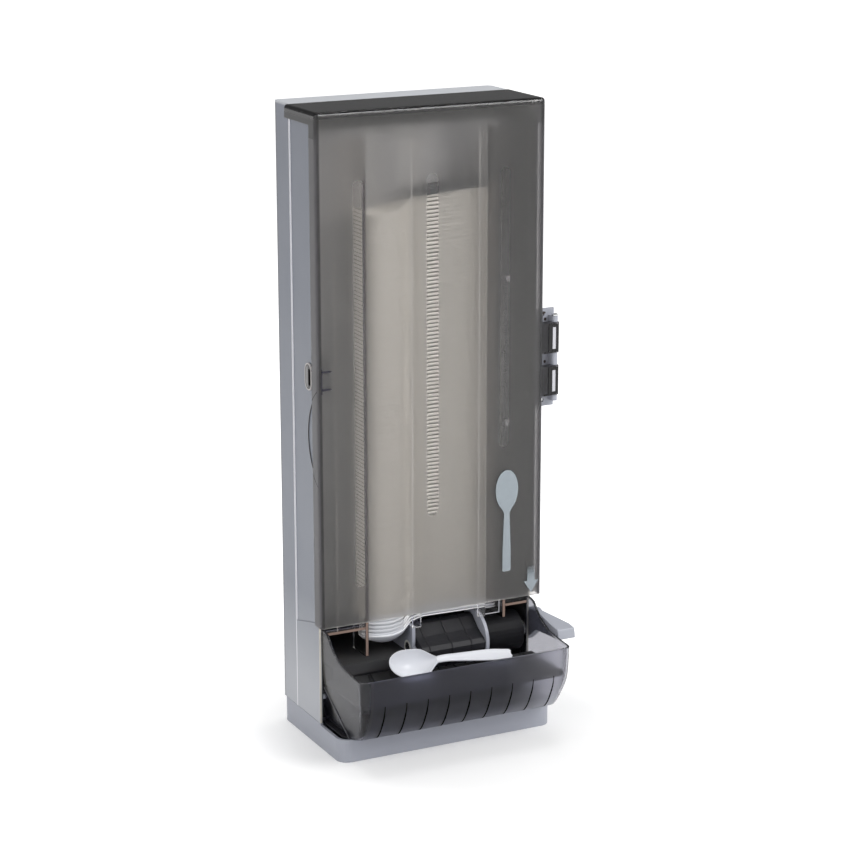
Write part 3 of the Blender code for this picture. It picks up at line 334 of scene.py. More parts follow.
# Materials
def moulded(name, colour, roughness, drift=0.05, relief=0.00001, edge_radius=0.0006, shine=0.5):
    """Moulded plastic: its colour and gloss drift a little, and it has a fine grain."""
    material = new_material(name)
    tone = blend_colours(noise(tone_patch), shade(colour, 1 - drift), shade(colour, 1 + drift))
    gloss = spread(noise(gloss_patch), roughness - 0.04, roughness + 0.04)
    fill(colour=tone, roughness=gloss, shine=shine)
    grained(relief, edge_radius)
    return material


def steel_finish():
    material = new_material("bright_steel")
    turned = noise(0.0005, 4)
    tone = blend_colours(turned, (0.50, 0.51, 0.52), (0.62, 0.63, 0.64))
    fill(colour=tone, metal=1, roughness=spread(turned, 0.2, 0.34))
    grained(0.00001, 0.0003, 0.0003)
    return material


def see_through(name, tint, roughness, lamp_tint, bending=1.45):
    """Clear or smoked plastic, whose tint is what both of its faces let through together."""
    material = new_material(name)
    tone = blend_colours(noise(0.04), shade(tint, 0.97), shade(tint, 1.03))
    gloss = spread(noise(0.01), roughness * 0.85, roughness * 1.15)
    fill(colour=tone, roughness=gloss, passing=1, bending=bending, shine=0.3)
    let_lamps_through(lamp_tint)
    return material


def window_mask():
    """1 inside the cover's clear windows and 0 outside, with a narrow edge between."""
    across, up = axis("X"), axis("Z")
    whole = 0.0
    for centre, half, low, high in windows:
        past = larger(minus(low + half, up), minus(up, high - half))
        away = distance(minus(across, centre), larger(past, 0.0))
        whole = larger(whole, step(away, half + window_blur, half - window_blur))
    return whole


def scallop_shade_line(forward=0.0, raised=0.0):
    """1 on the thin round line of the finger scallop, on the outside of the left side, where a dark line is
    painted as the shade at the scallop's edge.
    """
    up_off = minus(axis("Z"), scallop_height + raised)
    deep_off = minus(axis("Y"), cover_front + scallop_setback - forward)
    ring = size_of(minus(distance(up_off, deep_off), scallop_radius))
    left = step(axis("X"), blur - outer_side, -blur - outer_side)
    return times(step(ring, 0.0008, 0.0004), left)


def cover_finish():
    """Smoked plastic, frosted but for three clear windows, and darker at its flanges and knuckles; lighter
    over the far left and the right half as painted light, nearly black inside its top as painted shade, and
    with the finger scallop's edge painted on as a dark line of shade.
    """
    frosted, clear = 0.36, 0.02
    material = new_material("smoked_cover")
    across, up = axis("X"), axis("Z")
    windowed = window_mask()
    # Painted light: the smoke is lighter over the far left and the right half, so more light shows through
    # there.
    painted_light_share = larger(step(across, -0.075, -0.090), step(across, -0.020, 0.010))
    behind = step(axis("Y"), cover_front + 0.0025, cover_front + 0.0040)
    flange = step(size_of(across), 0.1168, 0.1182)
    knuckle = step(across, 0.1212, 0.1218)
    # Painted shade: the inner faces of the top, and of the flanges near the top, are made nearly black.
    top = larger(step(up, 0.6150, 0.6180), times(flange, step(up, 0.6030, 0.6045)))
    smoke = layered(
        blend_colours(noise(0.08), (0.555, 0.545, 0.54), (0.595, 0.585, 0.58)),
        (painted_light_share, (0.635, 0.625, 0.618)),
        (windowed, (0.72, 0.71, 0.705)),
        (flange, (0.11, 0.105, 0.115)),
        # Painted shade: the scallop's edge line carried on across the inner faces of the cover's flange.
        (times(behind, scallop_shade_line(0.0093, 0.0026)), black),
        (knuckle, (0.13, 0.125, 0.14)),
        (times(behind, top), (0.02, 0.019, 0.021)),
    )
    glossy = larger(windowed, step(up, 0.6215, 0.6235))
    fill(colour=smoke, roughness=spread(glossy, frosted, clear))
    fill(passing=0.985, bending=1.33, shine=0.13, coat=0.17, coat_roughness=0.06)
    bump = put("Bump", {"Distance": 0.0002, "Height": windowed, "Normal": soft_edges(0.001)}, invert=True)
    fill(normal=bump.outputs["Normal"])
    let_lamps_through((0.84, 0.83, 0.81))
    return material


def tray_finish():
    """Dark smoked plastic that lets some light through; towards the right end of its front its tint grows
    lighter as painted light.
    """
    material = new_material("smoked_tray")
    across = axis("X")
    front = step(size_of(across), 0.1120, 0.0985)
    sides = blend_colours(noise(0.05), (0.35, 0.35, 0.38), (0.38, 0.38, 0.41))
    # Painted light: the front's tint grows lighter towards its right end.
    smoke = tone_ramp(across, (
        (-0.105, (0.22, 0.225, 0.31)),
        (0.040, (0.24, 0.245, 0.32)),
        (0.100, (0.80, 0.80, 0.86)),
    ))
    gloss = plus(spread(noise(0.012), 0.10, 0.15), times(front, 0.26))
    fill(colour=blend_colours(front, sides, smoke), roughness=gloss)
    fill(passing=0.99, bending=1.3, shine=0.06)
    let_lamps_through((0.50, 0.50, 0.53))
    return material


def housing_finish():
    """Light grey plastic, dark inside; its side is a little lighter towards its foot as painted bounce light
    from the floor and darker higher up, its top face is lighter as painted light, with painted highlights
    along the side recess's back edge and the front edge, and painted shade on the back corner and along the
    finger scallop's edge.
    """
    material = new_material("housing_plastic")
    across, deep, up = size_of(axis("X")), axis("Y"), axis("Z")
    # Painted light: lighter towards the foot as bounce light from the floor, darker higher up the side, and a
    # lighter top face.
    outside = tone_ramp(up, (
        (0.0, srgb(174, 177, 184)),
        (0.06, srgb(166, 169, 176)),
        (0.15, srgb(105, 111, 124)),
        (0.60, srgb(90, 96, 110)),
        (0.6265, srgb(95, 101, 116)),
        (0.6282, srgb(190, 193, 198)),
    ))
    # Painted shade darkens the back corner of the side.
    rear_corner_shade = times(step(deep, 0.0605, 0.0635), step(up, 0.6275, 0.6265))
    outer = step(across, outer_side - blur, outer_side + blur)
    # Painted highlight: a pale line along the side recess's back edge.
    seam_highlight = step(size_of(minus(deep, cover_front + recess_reach)), 0.0010, 0.0006)
    # Painted highlight: a cream line along the side's front edge.
    rim = step(deep, cover_front + 0.0158, cover_front + 0.0153)
    within = times(step(across, 0.1150, 0.1146), step(deep, 0.0672, 0.0668))
    within = times(within, step(up, 0.6255, 0.6250))
    tone = layered(
        outside,
        (times(rear_corner_shade, 0.45), (0.02, 0.02, 0.03)),
        (times(seam_highlight, outer), (0.86, 0.86, 0.90)),
        (times(rim, outer), (0.66, 0.63, 0.55)),
        # Painted shade along the finger scallop's edge.
        (scallop_shade_line(), (0.03, 0.03, 0.03)),
        (times(noise(tone_patch), 0.12), (0.4, 0.4, 0.42)),
        (within, (0.03, 0.03, 0.032)),
    )
    gloss = spread(noise(gloss_patch), 0.26, 0.34)
    fill(colour=tone, roughness=plus(gloss, times(within, 0.4)))
    grained(0.000008, 0.0006)
    return material


def chassis_finish():
    """Grey plastic with painted light and shade: lighter and darker bands from its channel to its sides, and
    painted shade towards its foot.
    """
    material = new_material("chassis_plastic")
    # Painted light and shade: bands of tone across the plate.
    tone = tone_ramp(axis("X"), (
        (-0.100, (0.23, 0.23, 0.24)),
        (-0.060, (0.26, 0.26, 0.27)),
        (-0.048, (0.37, 0.37, 0.37)),
        (-0.026, (0.30, 0.30, 0.31)),
        (-0.008, (0.38, 0.38, 0.38)),
        (0.012, (0.35, 0.35, 0.36)),
        (0.036, (0.18, 0.18, 0.19)),
        (0.056, (0.15, 0.15, 0.16)),
        (0.072, (0.27, 0.27, 0.28)),
        (0.088, (0.31, 0.31, 0.32)),
        (0.097, (0.05, 0.05, 0.06)),
        (0.112, (0.04, 0.04, 0.05)),
    ))
    # Painted shade, darker towards the foot.
    low = times(step(axis("Z"), 0.58, 0.16), 0.75)
    patches = times(noise(0.05), 0.1)
    tone = layered(tone, (low, (0.03, 0.03, 0.032)), (patches, (0.2, 0.2, 0.2)))
    fill(colour=tone, roughness=spread(noise(gloss_patch), 0.4, 0.5))
    grained(0.00001, 0.0006)
    return material


def bezel_finish():
    """The lock's bezel: a thin light outline, a dark ring, a grey inner face and a black slot."""
    material = new_material("bezel_plastic")
    low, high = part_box("lock_bezel")
    middle, half = (low + high) / 2, (high - low) / 2
    across = minus(axis("Y"), middle.y)
    up = size_of(minus(axis("Z"), middle.z))
    away = distance(across, larger(minus(up, half.z - half.y), 0.0))
    tone = layered(
        blend_colours(noise(0.004), (0.16, 0.155, 0.16), (0.20, 0.195, 0.20)),
        (step(across, 0.0010, 0.0002), (0.006, 0.005, 0.005)),
        (step(away, half.y - 0.0030, half.y - 0.0024), (0.03, 0.028, 0.028)),
        (step(away, half.y - 0.0014, half.y - 0.0008), (0.50, 0.47, 0.46)),
    )
    fill(colour=tone, roughness=0.35)
    grained(0.000006, 0.0003)
    return material


def panel_shade_finish():
    """Clear plastic below the cover's edge, tinted dark above it as painted shade."""
    material = new_material("panel_painted_shade")
    # Painted shade: a dark tint above the cover's edge.
    smoke = blend_colours(noise(0.03), (0.35, 0.33, 0.32), (0.38, 0.36, 0.35))
    bare = step(axis("Z"), cover_low + 0.0010, cover_low - 0.0010)
    fill(colour=blend_colours(bare, smoke, (0.85, 0.86, 0.88)))
    fill(passing=1, bending=1.3, shine=0.3, roughness=0.04)
    let_lamps_through((0.62, 0.60, 0.59))
    return material


def stack_look():
    """White spoons; behind the cover a warmer, slightly darker tone is painted as the light and shade that
    reach them through it.
    """
    material = new_material("stack_plastic")
    # Painted light and shade above the cover's lower edge: a warmer, darker white.
    shade_behind_cover = step(axis("Z"), cover_low - 0.0015, cover_low + 0.0020)
    bare = blend_colours(noise(tone_patch), srgb(228, 230, 234), srgb(232, 234, 238))
    gloss = spread(noise(gloss_patch), 0.31, 0.39)
    fill(colour=blend_colours(shade_behind_cover, bare, srgb(226, 223, 217)), roughness=gloss)
    grained(0.000004)
    return material


def sheen_finish():
    """What the left guide's clear wall mirrors of the stack: warm white with the spoons' dark lines."""
    material = new_material("mirrored_stack")
    tone = blend_colours(noise(0.02), srgb(224, 221, 214), srgb(232, 229, 222))
    up = axis("Z")
    beside = calc("PINGPONG", minus(up, stack_bottom), stack_pitch / 2)
    line = times(step(beside, 0.0006, 0.0003), 0.6)
    shown = times(minus(1.0, line), step(up, stack_top - 0.001, stack_top - 0.003))
    near = step(axis("Y"), 0.004, cover_front + 0.012)
    fill(colour=tone, roughness=0.6, shine=0.1, alpha=times(near, shown))
    return material


def edge_finish():
    """Brown as a sheet seen edge-on is, and darker behind the cover as painted shade."""
    material = new_material("brown_edge")
    bare = blend_colours(noise(0.02), srgb(129, 109, 99), srgb(142, 122, 112))
    # Painted shade above the cover's lower edge.
    shade_behind_cover = step(axis("Z"), cover_low - 0.0015, cover_low + 0.0005)
    fill(colour=blend_colours(shade_behind_cover, bare, srgb(44, 34, 42)), shine=0.2)
    fill(roughness=spread(noise(0.01), 0.45, 0.55))
    return material


def mark_finish():
    """The pale print of the cover's signs, fading out at the top of the arrow's shaft."""
    material = new_material("pale_print")
    tone = blend_colours(noise(0.006), srgb(141, 150, 157), srgb(151, 160, 166))
    arrow_fade = step(axis("Z"), 0.162, 0.143)
    beside = calc("LESS_THAN", axis("X"), 0.1)
    fill(colour=tone, roughness=0.45, alpha=larger(arrow_fade, beside))
    return material


materials = {
    "grey_plastic": moulded("grey_plastic", srgb(162, 165, 175), 0.42),
    "tray_plastic": tray_finish(),
    "smoked_plastic": cover_finish(),
    "dark_plastic": moulded("dark_plastic", srgb(38, 38, 42), 0.42, 0.12, 0.00002, shine=0.28),
    "clear_plastic": see_through("clear_plastic", (0.95, 0.94, 0.92), 0.03, (0.94, 0.93, 0.92)),
    "bush_plastic": moulded("bush_plastic", srgb(222, 221, 214), 0.4),
    "spoon_plastic": moulded("spoon_plastic", srgb(223, 225, 230), 0.3, 0.01, 0.000004, 0),
    "steel": steel_finish(),
    "pad_rubber": moulded("pad_rubber", srgb(30, 30, 31), 0.8, relief=0.00003),
}
mark_material = mark_finish()
stack_finish = stack_look()
screw_finish = moulded("covered_screw", srgb(92, 90, 93), 0.5, edge_radius=0.0003, shine=0.2)
panel_shade_material = panel_shade_finish()
brown_edge = edge_finish()
dark_brown = moulded("dark_brown", srgb(46, 34, 30), 0.4, edge_radius=0)
# Painted shade: the near-black of the tray's grooves.
groove_shade_finish = moulded("groove_painted_shade", srgb(6, 6, 8), 0.8, edge_radius=0, shine=0.02)
catch_finish = moulded("catch_plastic", srgb(58, 56, 66), 0.6, edge_radius=0, shine=0.1)
# Lighter grey for the tray's side ribs: painted highlight on real ribs.
rib_highlight_finish = moulded("rib_painted_highlight", srgb(92, 92, 97), 0.4, edge_radius=0)
# Pale grey: painted highlights on the front panel's edges, and the own colour of the pins in the knuckles'
# windows.
edge_highlight_and_pin_grey = moulded("edge_highlight_and_pin_grey", srgb(196, 196, 202), 0.4, edge_radius=0)
own_finish = {
    "housing": housing_finish(),
    "chassis_plate": chassis_finish(),
    "lever": moulded("lever_plastic", srgb(166, 169, 178), 0.36),
    "deck": moulded("deck_plastic", srgb(70, 70, 71), 0.5, drift=0.1, shine=0.25),
    "tray_floor": moulded("tray_floor_plastic", srgb(60, 60, 61), 0.5, drift=0.1, shine=0.25),
    "catch_bracket": materials["dark_plastic"],
    "latch_tongue": materials["dark_plastic"],
    "magazine_screw_lower": screw_finish,
    "magazine_screw_upper": screw_finish,
    "lock_bezel": bezel_finish(),
    "magazine_guide_left": see_through("guide_plastic", (0.84, 0.82, 0.80), 0.03, (0.90, 0.89, 0.88), 1.3),
    "magazine_guide_right": see_through("smoked_guide", (0.42, 0.40, 0.395), 0.05, (0.62, 0.60, 0.59), 1.22),
    "drive_drum": moulded("drum_plastic", srgb(26, 26, 29), 0.5, drift=0.1, shine=0.14),
}


def dress_frame():
    """Gives every node of the frame its own finish, or else that of its slot."""
    for label, node in nodes.items():
        for slot in node.material_slots:
            name = slot.material.name.split(".")[0] if slot.material else ""
            slot.link = "OBJECT"
            slot.material = own_finish.get(label) or materials.get(name, materials["grey_plastic"])


# Mesh helpers
def add_object(name, data):
    """A new object in the scene."""
    thing = bpy.data.objects.new(name, data)
    bpy.context.scene.collection.objects.link(thing)
    return thing


def piece_from(name, mesh, material, body, smooth=True):
    """A piece of the scene from a bmesh, in its finish and on its body."""
    data = bpy.data.meshes.new(name)
    mesh.normal_update()
    mesh.to_mesh(data)
    mesh.free()
    if smooth:
        data.shade_smooth()
        data.set_sharp_from_angle(angle=math.radians(35))
    data.materials.append(material)
    piece = add_object(name, data)
    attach(piece, body)
    return piece


def thicken(piece, thickness, even=False):
    """Gives a skin its wall, on its inner side."""
    wall = piece.modifiers.new("wall", "SOLIDIFY")
    wall.thickness = thickness
    wall.offset = -1
    wall.use_even_offset = even


def round_edges(piece, width):
    edge = piece.modifiers.new("edge", "BEVEL")
    edge.width = width
    edge.segments = 2
    edge.limit_method = "ANGLE"
    edge.angle_limit = math.radians(50)


def take_in(whole, one):
    """Adds one mesh to another, and lets it go."""
    data = bpy.data.meshes.new("one")
    one.to_mesh(data)
    one.free()
    whole.from_mesh(data)
    bpy.data.meshes.remove(data)


def block_mesh(low, high, edge, segments=1):
    """A box between two corners, with rounded edges."""
    mesh = bmesh.new()
    bmesh.ops.create_cube(mesh, size=1)
    for vertex in mesh.verts:
        for way in range(3):
            middle = (low[way] + high[way]) / 2
            vertex.co[way] = middle + vertex.co[way] * (high[way] - low[way])
    bmesh.ops.bevel(mesh, geom=mesh.edges[:], offset=edge, segments=segments, profile=0.5, affect="EDGES")
    return mesh


def on_side(u, v, w):
    """Places an outline on the side, its depth from left to right."""
    return (w, u, v)


def on_front(u, v, w):
    """Places an outline on the front, its depth from front to back."""
    return (u, w, v)


def on_floor(u, v, w):
    """Places an outline lying down, its depth upwards."""
    return (u, v, w)


def prism_mesh(points, low, high, place):
    """A flat outline drawn out from low to high; place turns (u, v, w) into a point."""
    mesh = bmesh.new()
    first = [mesh.verts.new(place(u, v, low)) for u, v in points]
    second = [mesh.verts.new(place(u, v, high)) for u, v in points]
    mesh.faces.new(first)
    mesh.faces.new(list(reversed(second)))
    for i in range(len(points)):
        j = (i + 1) % len(points)
        mesh.faces.new((first[j], first[i], second[i], second[j]))
    bmesh.ops.recalc_face_normals(mesh, faces=mesh.faces)
    return mesh


def arc(centre, radius, start, end, count):
    """Points of an arc, its angles in degrees."""
    turns = [math.radians(start + (end - start) * i / count) for i in range(count + 1)]
    return [(centre[0] + radius * math.cos(a), centre[1] + radius * math.sin(a)) for a in turns]


def smooth_share(value):
    """The value held between 0 and 1, with soft ends."""
    value = min(max(value, 0), 1)
    return value * value * (3 - 2 * value)


def curve_point(points, at):
    """A point of the smooth curve through the given points, at a count of points along it."""
    last = len(points) - 1
    start = min(int(at), last - 1)
    share = at - start
    a, b, c, d = (points[min(max(start + k, 0), last)] for k in (-1, 0, 1, 2))
    values = []
    for p, q, r, s in zip(a, b, c, d):
        square, cube = 2 * p - 5 * q + 4 * r - s, 3 * q - p - 3 * r + s
        values.append(0.5 * (2 * q + (r - p) * share + square * share**2 + cube * share**3))
    return tuple(values)


# Tray
def rim_height(y):
    """The height of the side wall's top edge at a place from front to back."""
    lip = cover_front - tray_lip_reach
    run = tray_lip_reach + tray_ear_front
    share = (y - lip) / run
    if share >= 1:
        rise = min((share - 1) / 0.1, 1)
        return tray_ear_crest + (tray_ear_top - tray_ear_crest) * rise
    last = len(tray_rim_shares) - 1
    at = next((i for i in range(last) if tray_rim_shares[i + 1][0] >= share), last - 1)
    low, high = tray_rim_shares[at], tray_rim_shares[at + 1]
    part = (share - low[0]) / (high[0] - low[0])
    up = curve_point(tray_rim_shares, at + part)[1]
    return tray_lip_height + max(up, 0) * (tray_ear_crest - tray_lip_height)


def tray_level(at):
    """Reach, height and half width of the tray's skin at a count of points up its profile."""
    if at >= lip_level:
        return tuple(a + (b - a) * (at - lip_level) for a, b in zip(*tray_profile[lip_level:]))
    return curve_point(tray_profile[:lip_level + 1], at)


def tray_half_width(height):
    """Half of the tray's width at a height."""
    levels = [(level[1], level[2]) for level in tray_profile]
    for (low, first), (high, second) in zip(levels, levels[1:]):
        if height <= high:
            return first + (second - first) * max(height - low, 0) / (high - low)
    return levels[-1][1]


def tray_columns():
    """The columns round the tray's outline: kind and place, from the left back to the right back."""
    side_count, turn_count, front_count = 30, 8, 33
    first_front, pitch = -0.096, 0.006
    columns = [("left", 1 - i / side_count) for i in range(side_count)]
    columns += [("left_turn", i / turn_count) for i in range(turn_count + 1)]
    columns += [("front", first_front + pitch * i) for i in range(front_count)]
    columns += [("right_turn", 1 - i / turn_count) for i in range(turn_count + 1)]
    columns += [("right", (i + 1) / side_count) for i in range(side_count)]
    return columns


def tray_point(kind, where, at):
    """A point of the tray's skin: in which column, where in it, and how far up the profile."""
    reach, height, half = tray_level(at)
    radius = tray_corner_foot + (tray_corner_lip - tray_corner_foot) * min(at / lip_level, 1)
    front = cover_front - reach
    hand = -1 if kind.startswith("left") else 1
    if kind in ("left", "right"):
        above, below = height - tray_notch_low, tray_notch_high - height
        notch = smooth_share(above / tray_notch_turn) * smooth_share(below / tray_notch_turn)
        y = front + radius + where * (tray_back - tray_notch * notch - front - radius)
        return Vector((hand * half, y, height))
    if kind.endswith("turn"):
        angle = where * math.pi / 2
        x = hand * (half - radius + radius * math.cos(angle))
        return Vector((x, front + radius - radius * math.sin(angle), height))
    return Vector((where, front, height))


def column_top(kind, where):
    """How far up its profile a column goes, to meet the rim."""
    if kind not in ("left", "right"):
        return lip_level
    low, high = lip_level, lip_level + 1
    for _ in range(24):
        middle = (low + high) / 2
        point = tray_point(kind, where, middle)
        if point.z < rim_height(point.y):
            low = middle
        else:
            high = middle
    return low


def make_tray():
    """The tray's shell: its skin, drawn as columns round its outline, made as thick as its wall."""
    level_count = 44
    mesh = bmesh.new()
    grid = []
    for kind, where in tray_columns():
        top = column_top(kind, where)
        rows = []
        for i in range(level_count + 1):
            rows.append(mesh.verts.new(tray_point(kind, where, top * i / level_count)))
        grid.append(rows)
    for left, right in zip(grid, grid[1:]):
        for i in range(level_count):
            mesh.faces.new((left[i], right[i], right[i + 1], left[i + 1]))
    mesh.faces.new([rows[0] for rows in reversed(grid)])
    bmesh.ops.recalc_face_normals(mesh, faces=mesh.faces)
    middle_column = grid[len(grid) // 2]
    mesh.normal_update()
    if middle_column[level_count // 2].normal.y > 0:
        bmesh.ops.reverse_faces(mesh, faces=mesh.faces)
    tray = piece_from("tray_shell", mesh, materials["tray_plastic"], "tray")
    thicken(tray, tray_wall, even=True)
    round_edges(tray, 0.0004)
    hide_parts("tray")


def make_grooves():
    """The nine thin grooves that run down the tray's front, drawn as dark strips of painted shade."""
    count = 24
    mesh = bmesh.new()
    levels = [lip_level * i / 400 for i in range(401)]
    first = next(at for at in levels if tray_level(at)[1] >= groove_bottom)
    last = next(at for at in levels if tray_level(at)[1] >= groove_top)
    for i in range(groove_count):
        x = groove_first + i * groove_pitch
        rows = []
        for j in range(count + 1):
            at = first + (last - first) * j / count
            before, after = tray_level(max(at - 0.02, 0)), tray_level(at + 0.02)
            along = Vector((0, before[0] - after[0], after[1] - before[1])).normalized()
            outwards = Vector((0, -along.z, along.y)) * 0.00012
            reach, height, _ = tray_level(at)
            half = groove_half_width * (1 - 0.5 * smooth_share((j / count - 0.8) / 0.2))
            middle = Vector((x, cover_front - reach, height)) + outwards
            spots = (middle - Vector((half, 0, 0)), middle + Vector((half, 0, 0)))
            backs = (spots[1] - outwards * 2, spots[0] - outwards * 2)
            rows.append([mesh.verts.new(spot) for spot in (*spots, *backs)])
        for lower, upper in zip(rows, rows[1:]):
            for k in range(4):
                mesh.faces.new((lower[k], lower[(k + 1) % 4], upper[(k + 1) % 4], upper[k]))
        mesh.faces.new(list(reversed(rows[0])))
        mesh.faces.new(rows[-1])
    bmesh.ops.recalc_face_normals(mesh, faces=mesh.faces)
    piece_from("tray_grooves", mesh, groove_shade_finish, "tray")


def make_sole():
    """The dark plate under the tray, which lies on the base's kerb."""
    side, setback, corner = 0.1115, 0.0016, 0.010
    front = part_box("base_pan")[0].y + setback
    outline = [(-side, tray_back), *arc((-side + corner, front + corner), corner, 180, 270, 8)]
    outline += [*arc((side - corner, front + corner), corner, 270, 360, 8), (side, tray_back)]
    mesh = prism_mesh(outline, tray_foot, tray_foot + 0.0014, on_floor)
    piece_from("tray_sole", mesh, materials["dark_plastic"], "tray")


def make_tray_ears():
    """The forked ears that the tray pins lie in."""
    reach, half_height, wall, side, gap = 0.004, 0.005, 0.0022, 0.1082, 0.0003
    for hand, label in ((-1, "left"), (1, "right")):
        pin_low, pin_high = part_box(f"tray_pin_{label}")
        pin_y, pin_z = (pin_low.y + pin_high.y) / 2, (pin_low.z + pin_high.z) / 2
        radius = (pin_high.z - pin_low.z) / 2 + gap
        back = pin_y + reach
        front = tray_back - tray_notch - reach
        outline = [(front, pin_z - half_height), (back, pin_z - half_height)]
        outline += [(back, pin_z - radius), *arc((pin_y, pin_z), radius, 270, 90, 10), (back, pin_z + radius)]
        outline += [(back, pin_z + half_height), (front, pin_z + half_height)]
        low, high = sorted((hand * side, hand * (side + wall)))
        mesh = prism_mesh(outline, low, high, on_side)
        piece_from(f"tray_ear_{label}", mesh, materials["tray_plastic"], "tray")


def bar_mesh(start, end, half_width, low, high):
    """A straight bar lying flat from one place to another."""
    along = (end - start).normalized()
    across = Vector((-along.y, along.x)) * half_width
    corners = [start - across, start + across, end + across, end - across]
    return prism_mesh([tuple(c) for c in corners], low, high, on_floor)


def make_floor_ribs():
    """The thin ribs on the tray's floor, which run from the front to the cover's edge."""
    ribs = (
        ((-0.0662, 0.0110), (-0.0850, -0.0450)),
        ((-0.0639, 0.0110), (-0.0780, -0.0450)),
        ((-0.0433, 0.0110), (-0.0630, -0.0450)),
        ((-0.0400, 0.0110), (-0.0570, -0.0450)),
        ((-0.0200, -0.0030), (-0.0320, -0.0450)),
        ((0.0038, -0.0030), (-0.0020, -0.0450)),
        ((0.0210, -0.0030), (0.0225, -0.0450)),
        ((0.0446, -0.0030), (0.0400, -0.0450)),
        ((0.0960, -0.0030), (0.0840, -0.0450)),
        ((0.1000, -0.0030), (0.0880, -0.0450)),
    )
    low, high = floor_top - 0.0003, floor_top + 0.0009
    whole = bmesh.new()
    for start, end in ribs:
        start, end = (Vector((x, cover_front + y)) for x, y in (start, end))
        take_in(whole, bar_mesh(start, end, 0.0006, low, high))
    piece_from("tray_floor_ribs", whole, materials["dark_plastic"], "tray", False)


# Spoons
def spoon_half_width(along):
    """Half of the spoon's width at a distance from the bowl's tip."""
    fullness, neck_start, neck_run = 2.1, 0.72, 0.36
    widest, narrows_from, narrowing = 0.8, 0.7, 0.45
    bowl_half = spoon_bowl_reach / 2
    across = 1 - abs((along - bowl_half) / bowl_half) ** fullness
    bowl = spoon_bowl_half_width * math.sqrt(max(across, 0))
    if along <= bowl_half:
        return bowl
    into_handle = smooth_share((along - neck_start * spoon_bowl_reach) / (neck_run * spoon_bowl_reach))
    handle_share = max((along - spoon_bowl_reach) / (spoon_length - spoon_bowl_reach), 0)
    swell = smooth_share(handle_share / widest)
    swell -= narrowing * smooth_share((handle_share - narrows_from) / (1 - narrows_from))
    handle = spoon_neck_half_width + (spoon_end_half_width - spoon_neck_half_width) * swell
    left = spoon_length - along
    if left < spoon_end_round:
        handle -= spoon_end_round * (1 - math.sqrt(max(1 - (1 - left / spoon_end_round) ** 2, 0)))
    return max(bowl * (1 - into_handle) + handle * into_handle, handle * into_handle)


def spoon_height(along, lane):
    """The upper face's height over the handle's level; lane is 0 in the middle and 1 at the edge."""
    bowl_half = spoon_bowl_length / 2
    sink = 1 - smooth_share((along - bowl_half) / (2 * bowl_half))
    rim = -spoon_bowl_drop * sink
    hollow_half = spoon_bowl_reach / 2
    across = max(1 - ((along - hollow_half) / hollow_half) ** 2, 0)
    hollow = spoon_bowl_depth * across**0.8 + spoon_channel * (1 - sink)
    return rim - hollow * (1 - abs(lane) ** 2.2)


def add_spoon(mesh, place, fan, stations, lanes, lip=0):
    """One spoon's upper face, added to a mesh, with a lip that hangs from its edge."""
    rows = []
    for i in range(stations + 1):
        share = i / stations
        along = spoon_length * (share + (smooth_share(share) - share) / 2)
        half = max(spoon_half_width(along), spoon_thickness / 4)
        spots = []
        for j in range(lanes + 1):
            lane = math.sin((2 * j / lanes - 1) * math.pi / 2)
            spots.append((lane * half, fan * along + spoon_height(along, lane)))
        if lip:
            past_bowl = smooth_share((along - spoon_bowl_length * 0.6) / (spoon_bowl_length * 0.4))
            drop = lip * (0.25 + 0.75 * past_bowl)
            spots = [(spots[0][0], spots[0][1] - drop), *spots, (spots[-1][0], spots[-1][1] - drop)]
        rows.append([mesh.verts.new(place @ Vector((along, across, up))) for across, up in spots])
    for lower, upper in zip(rows, rows[1:]):
        for j in range(len(lower) - 1):
            mesh.faces.new((lower[j], upper[j], upper[j + 1], lower[j + 1]))


def make_stack():
    """The spoons of the stack, in the four bundles that the frame has."""
    rise = stack_top - stack_bottom
    count = round((rise - spoon_thickness) / stack_pitch)
    names = ("spoon_bundle_first", "spoon_bundle_second", "spoon_bundle_third", "spoon_bundle_top")
    meshes = [bmesh.new() for _ in names]
    stations, lanes = 26, 8
    slip_along, slip_across, slip_turn = 0.0006, 0.0004, 0.25
    draw = random.Random(7)
    for i in range(count + 1):
        share = i / count
        bundle = sum(share > limit for limit in stack_level_shares)
        level = stack_bottom + spoon_thickness + (rise - spoon_thickness) * share
        level += lowest_lift if i == 0 else 0
        along, across = draw.uniform(-slip_along, slip_along), draw.uniform(-slip_across, slip_across)
        turn = Matrix.Rotation(math.radians(draw.uniform(-slip_turn, slip_turn)), 4, "Z")
        middle = Vector((stack_left + slip_along, stack_middle, level)) + Vector((along, across, 0))
        place = Matrix.Translation(middle) @ turn
        add_spoon(meshes[bundle], place, stack_fan * share, stations, lanes, stack_lip if i else 0)
    for name, mesh in zip(names, meshes):
        label = name.replace("spoon_bundle", "spoons")
        spoons = piece_from(label, mesh, stack_finish, "cabinet")
        thicken(spoons, spoon_thickness)
        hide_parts(name)


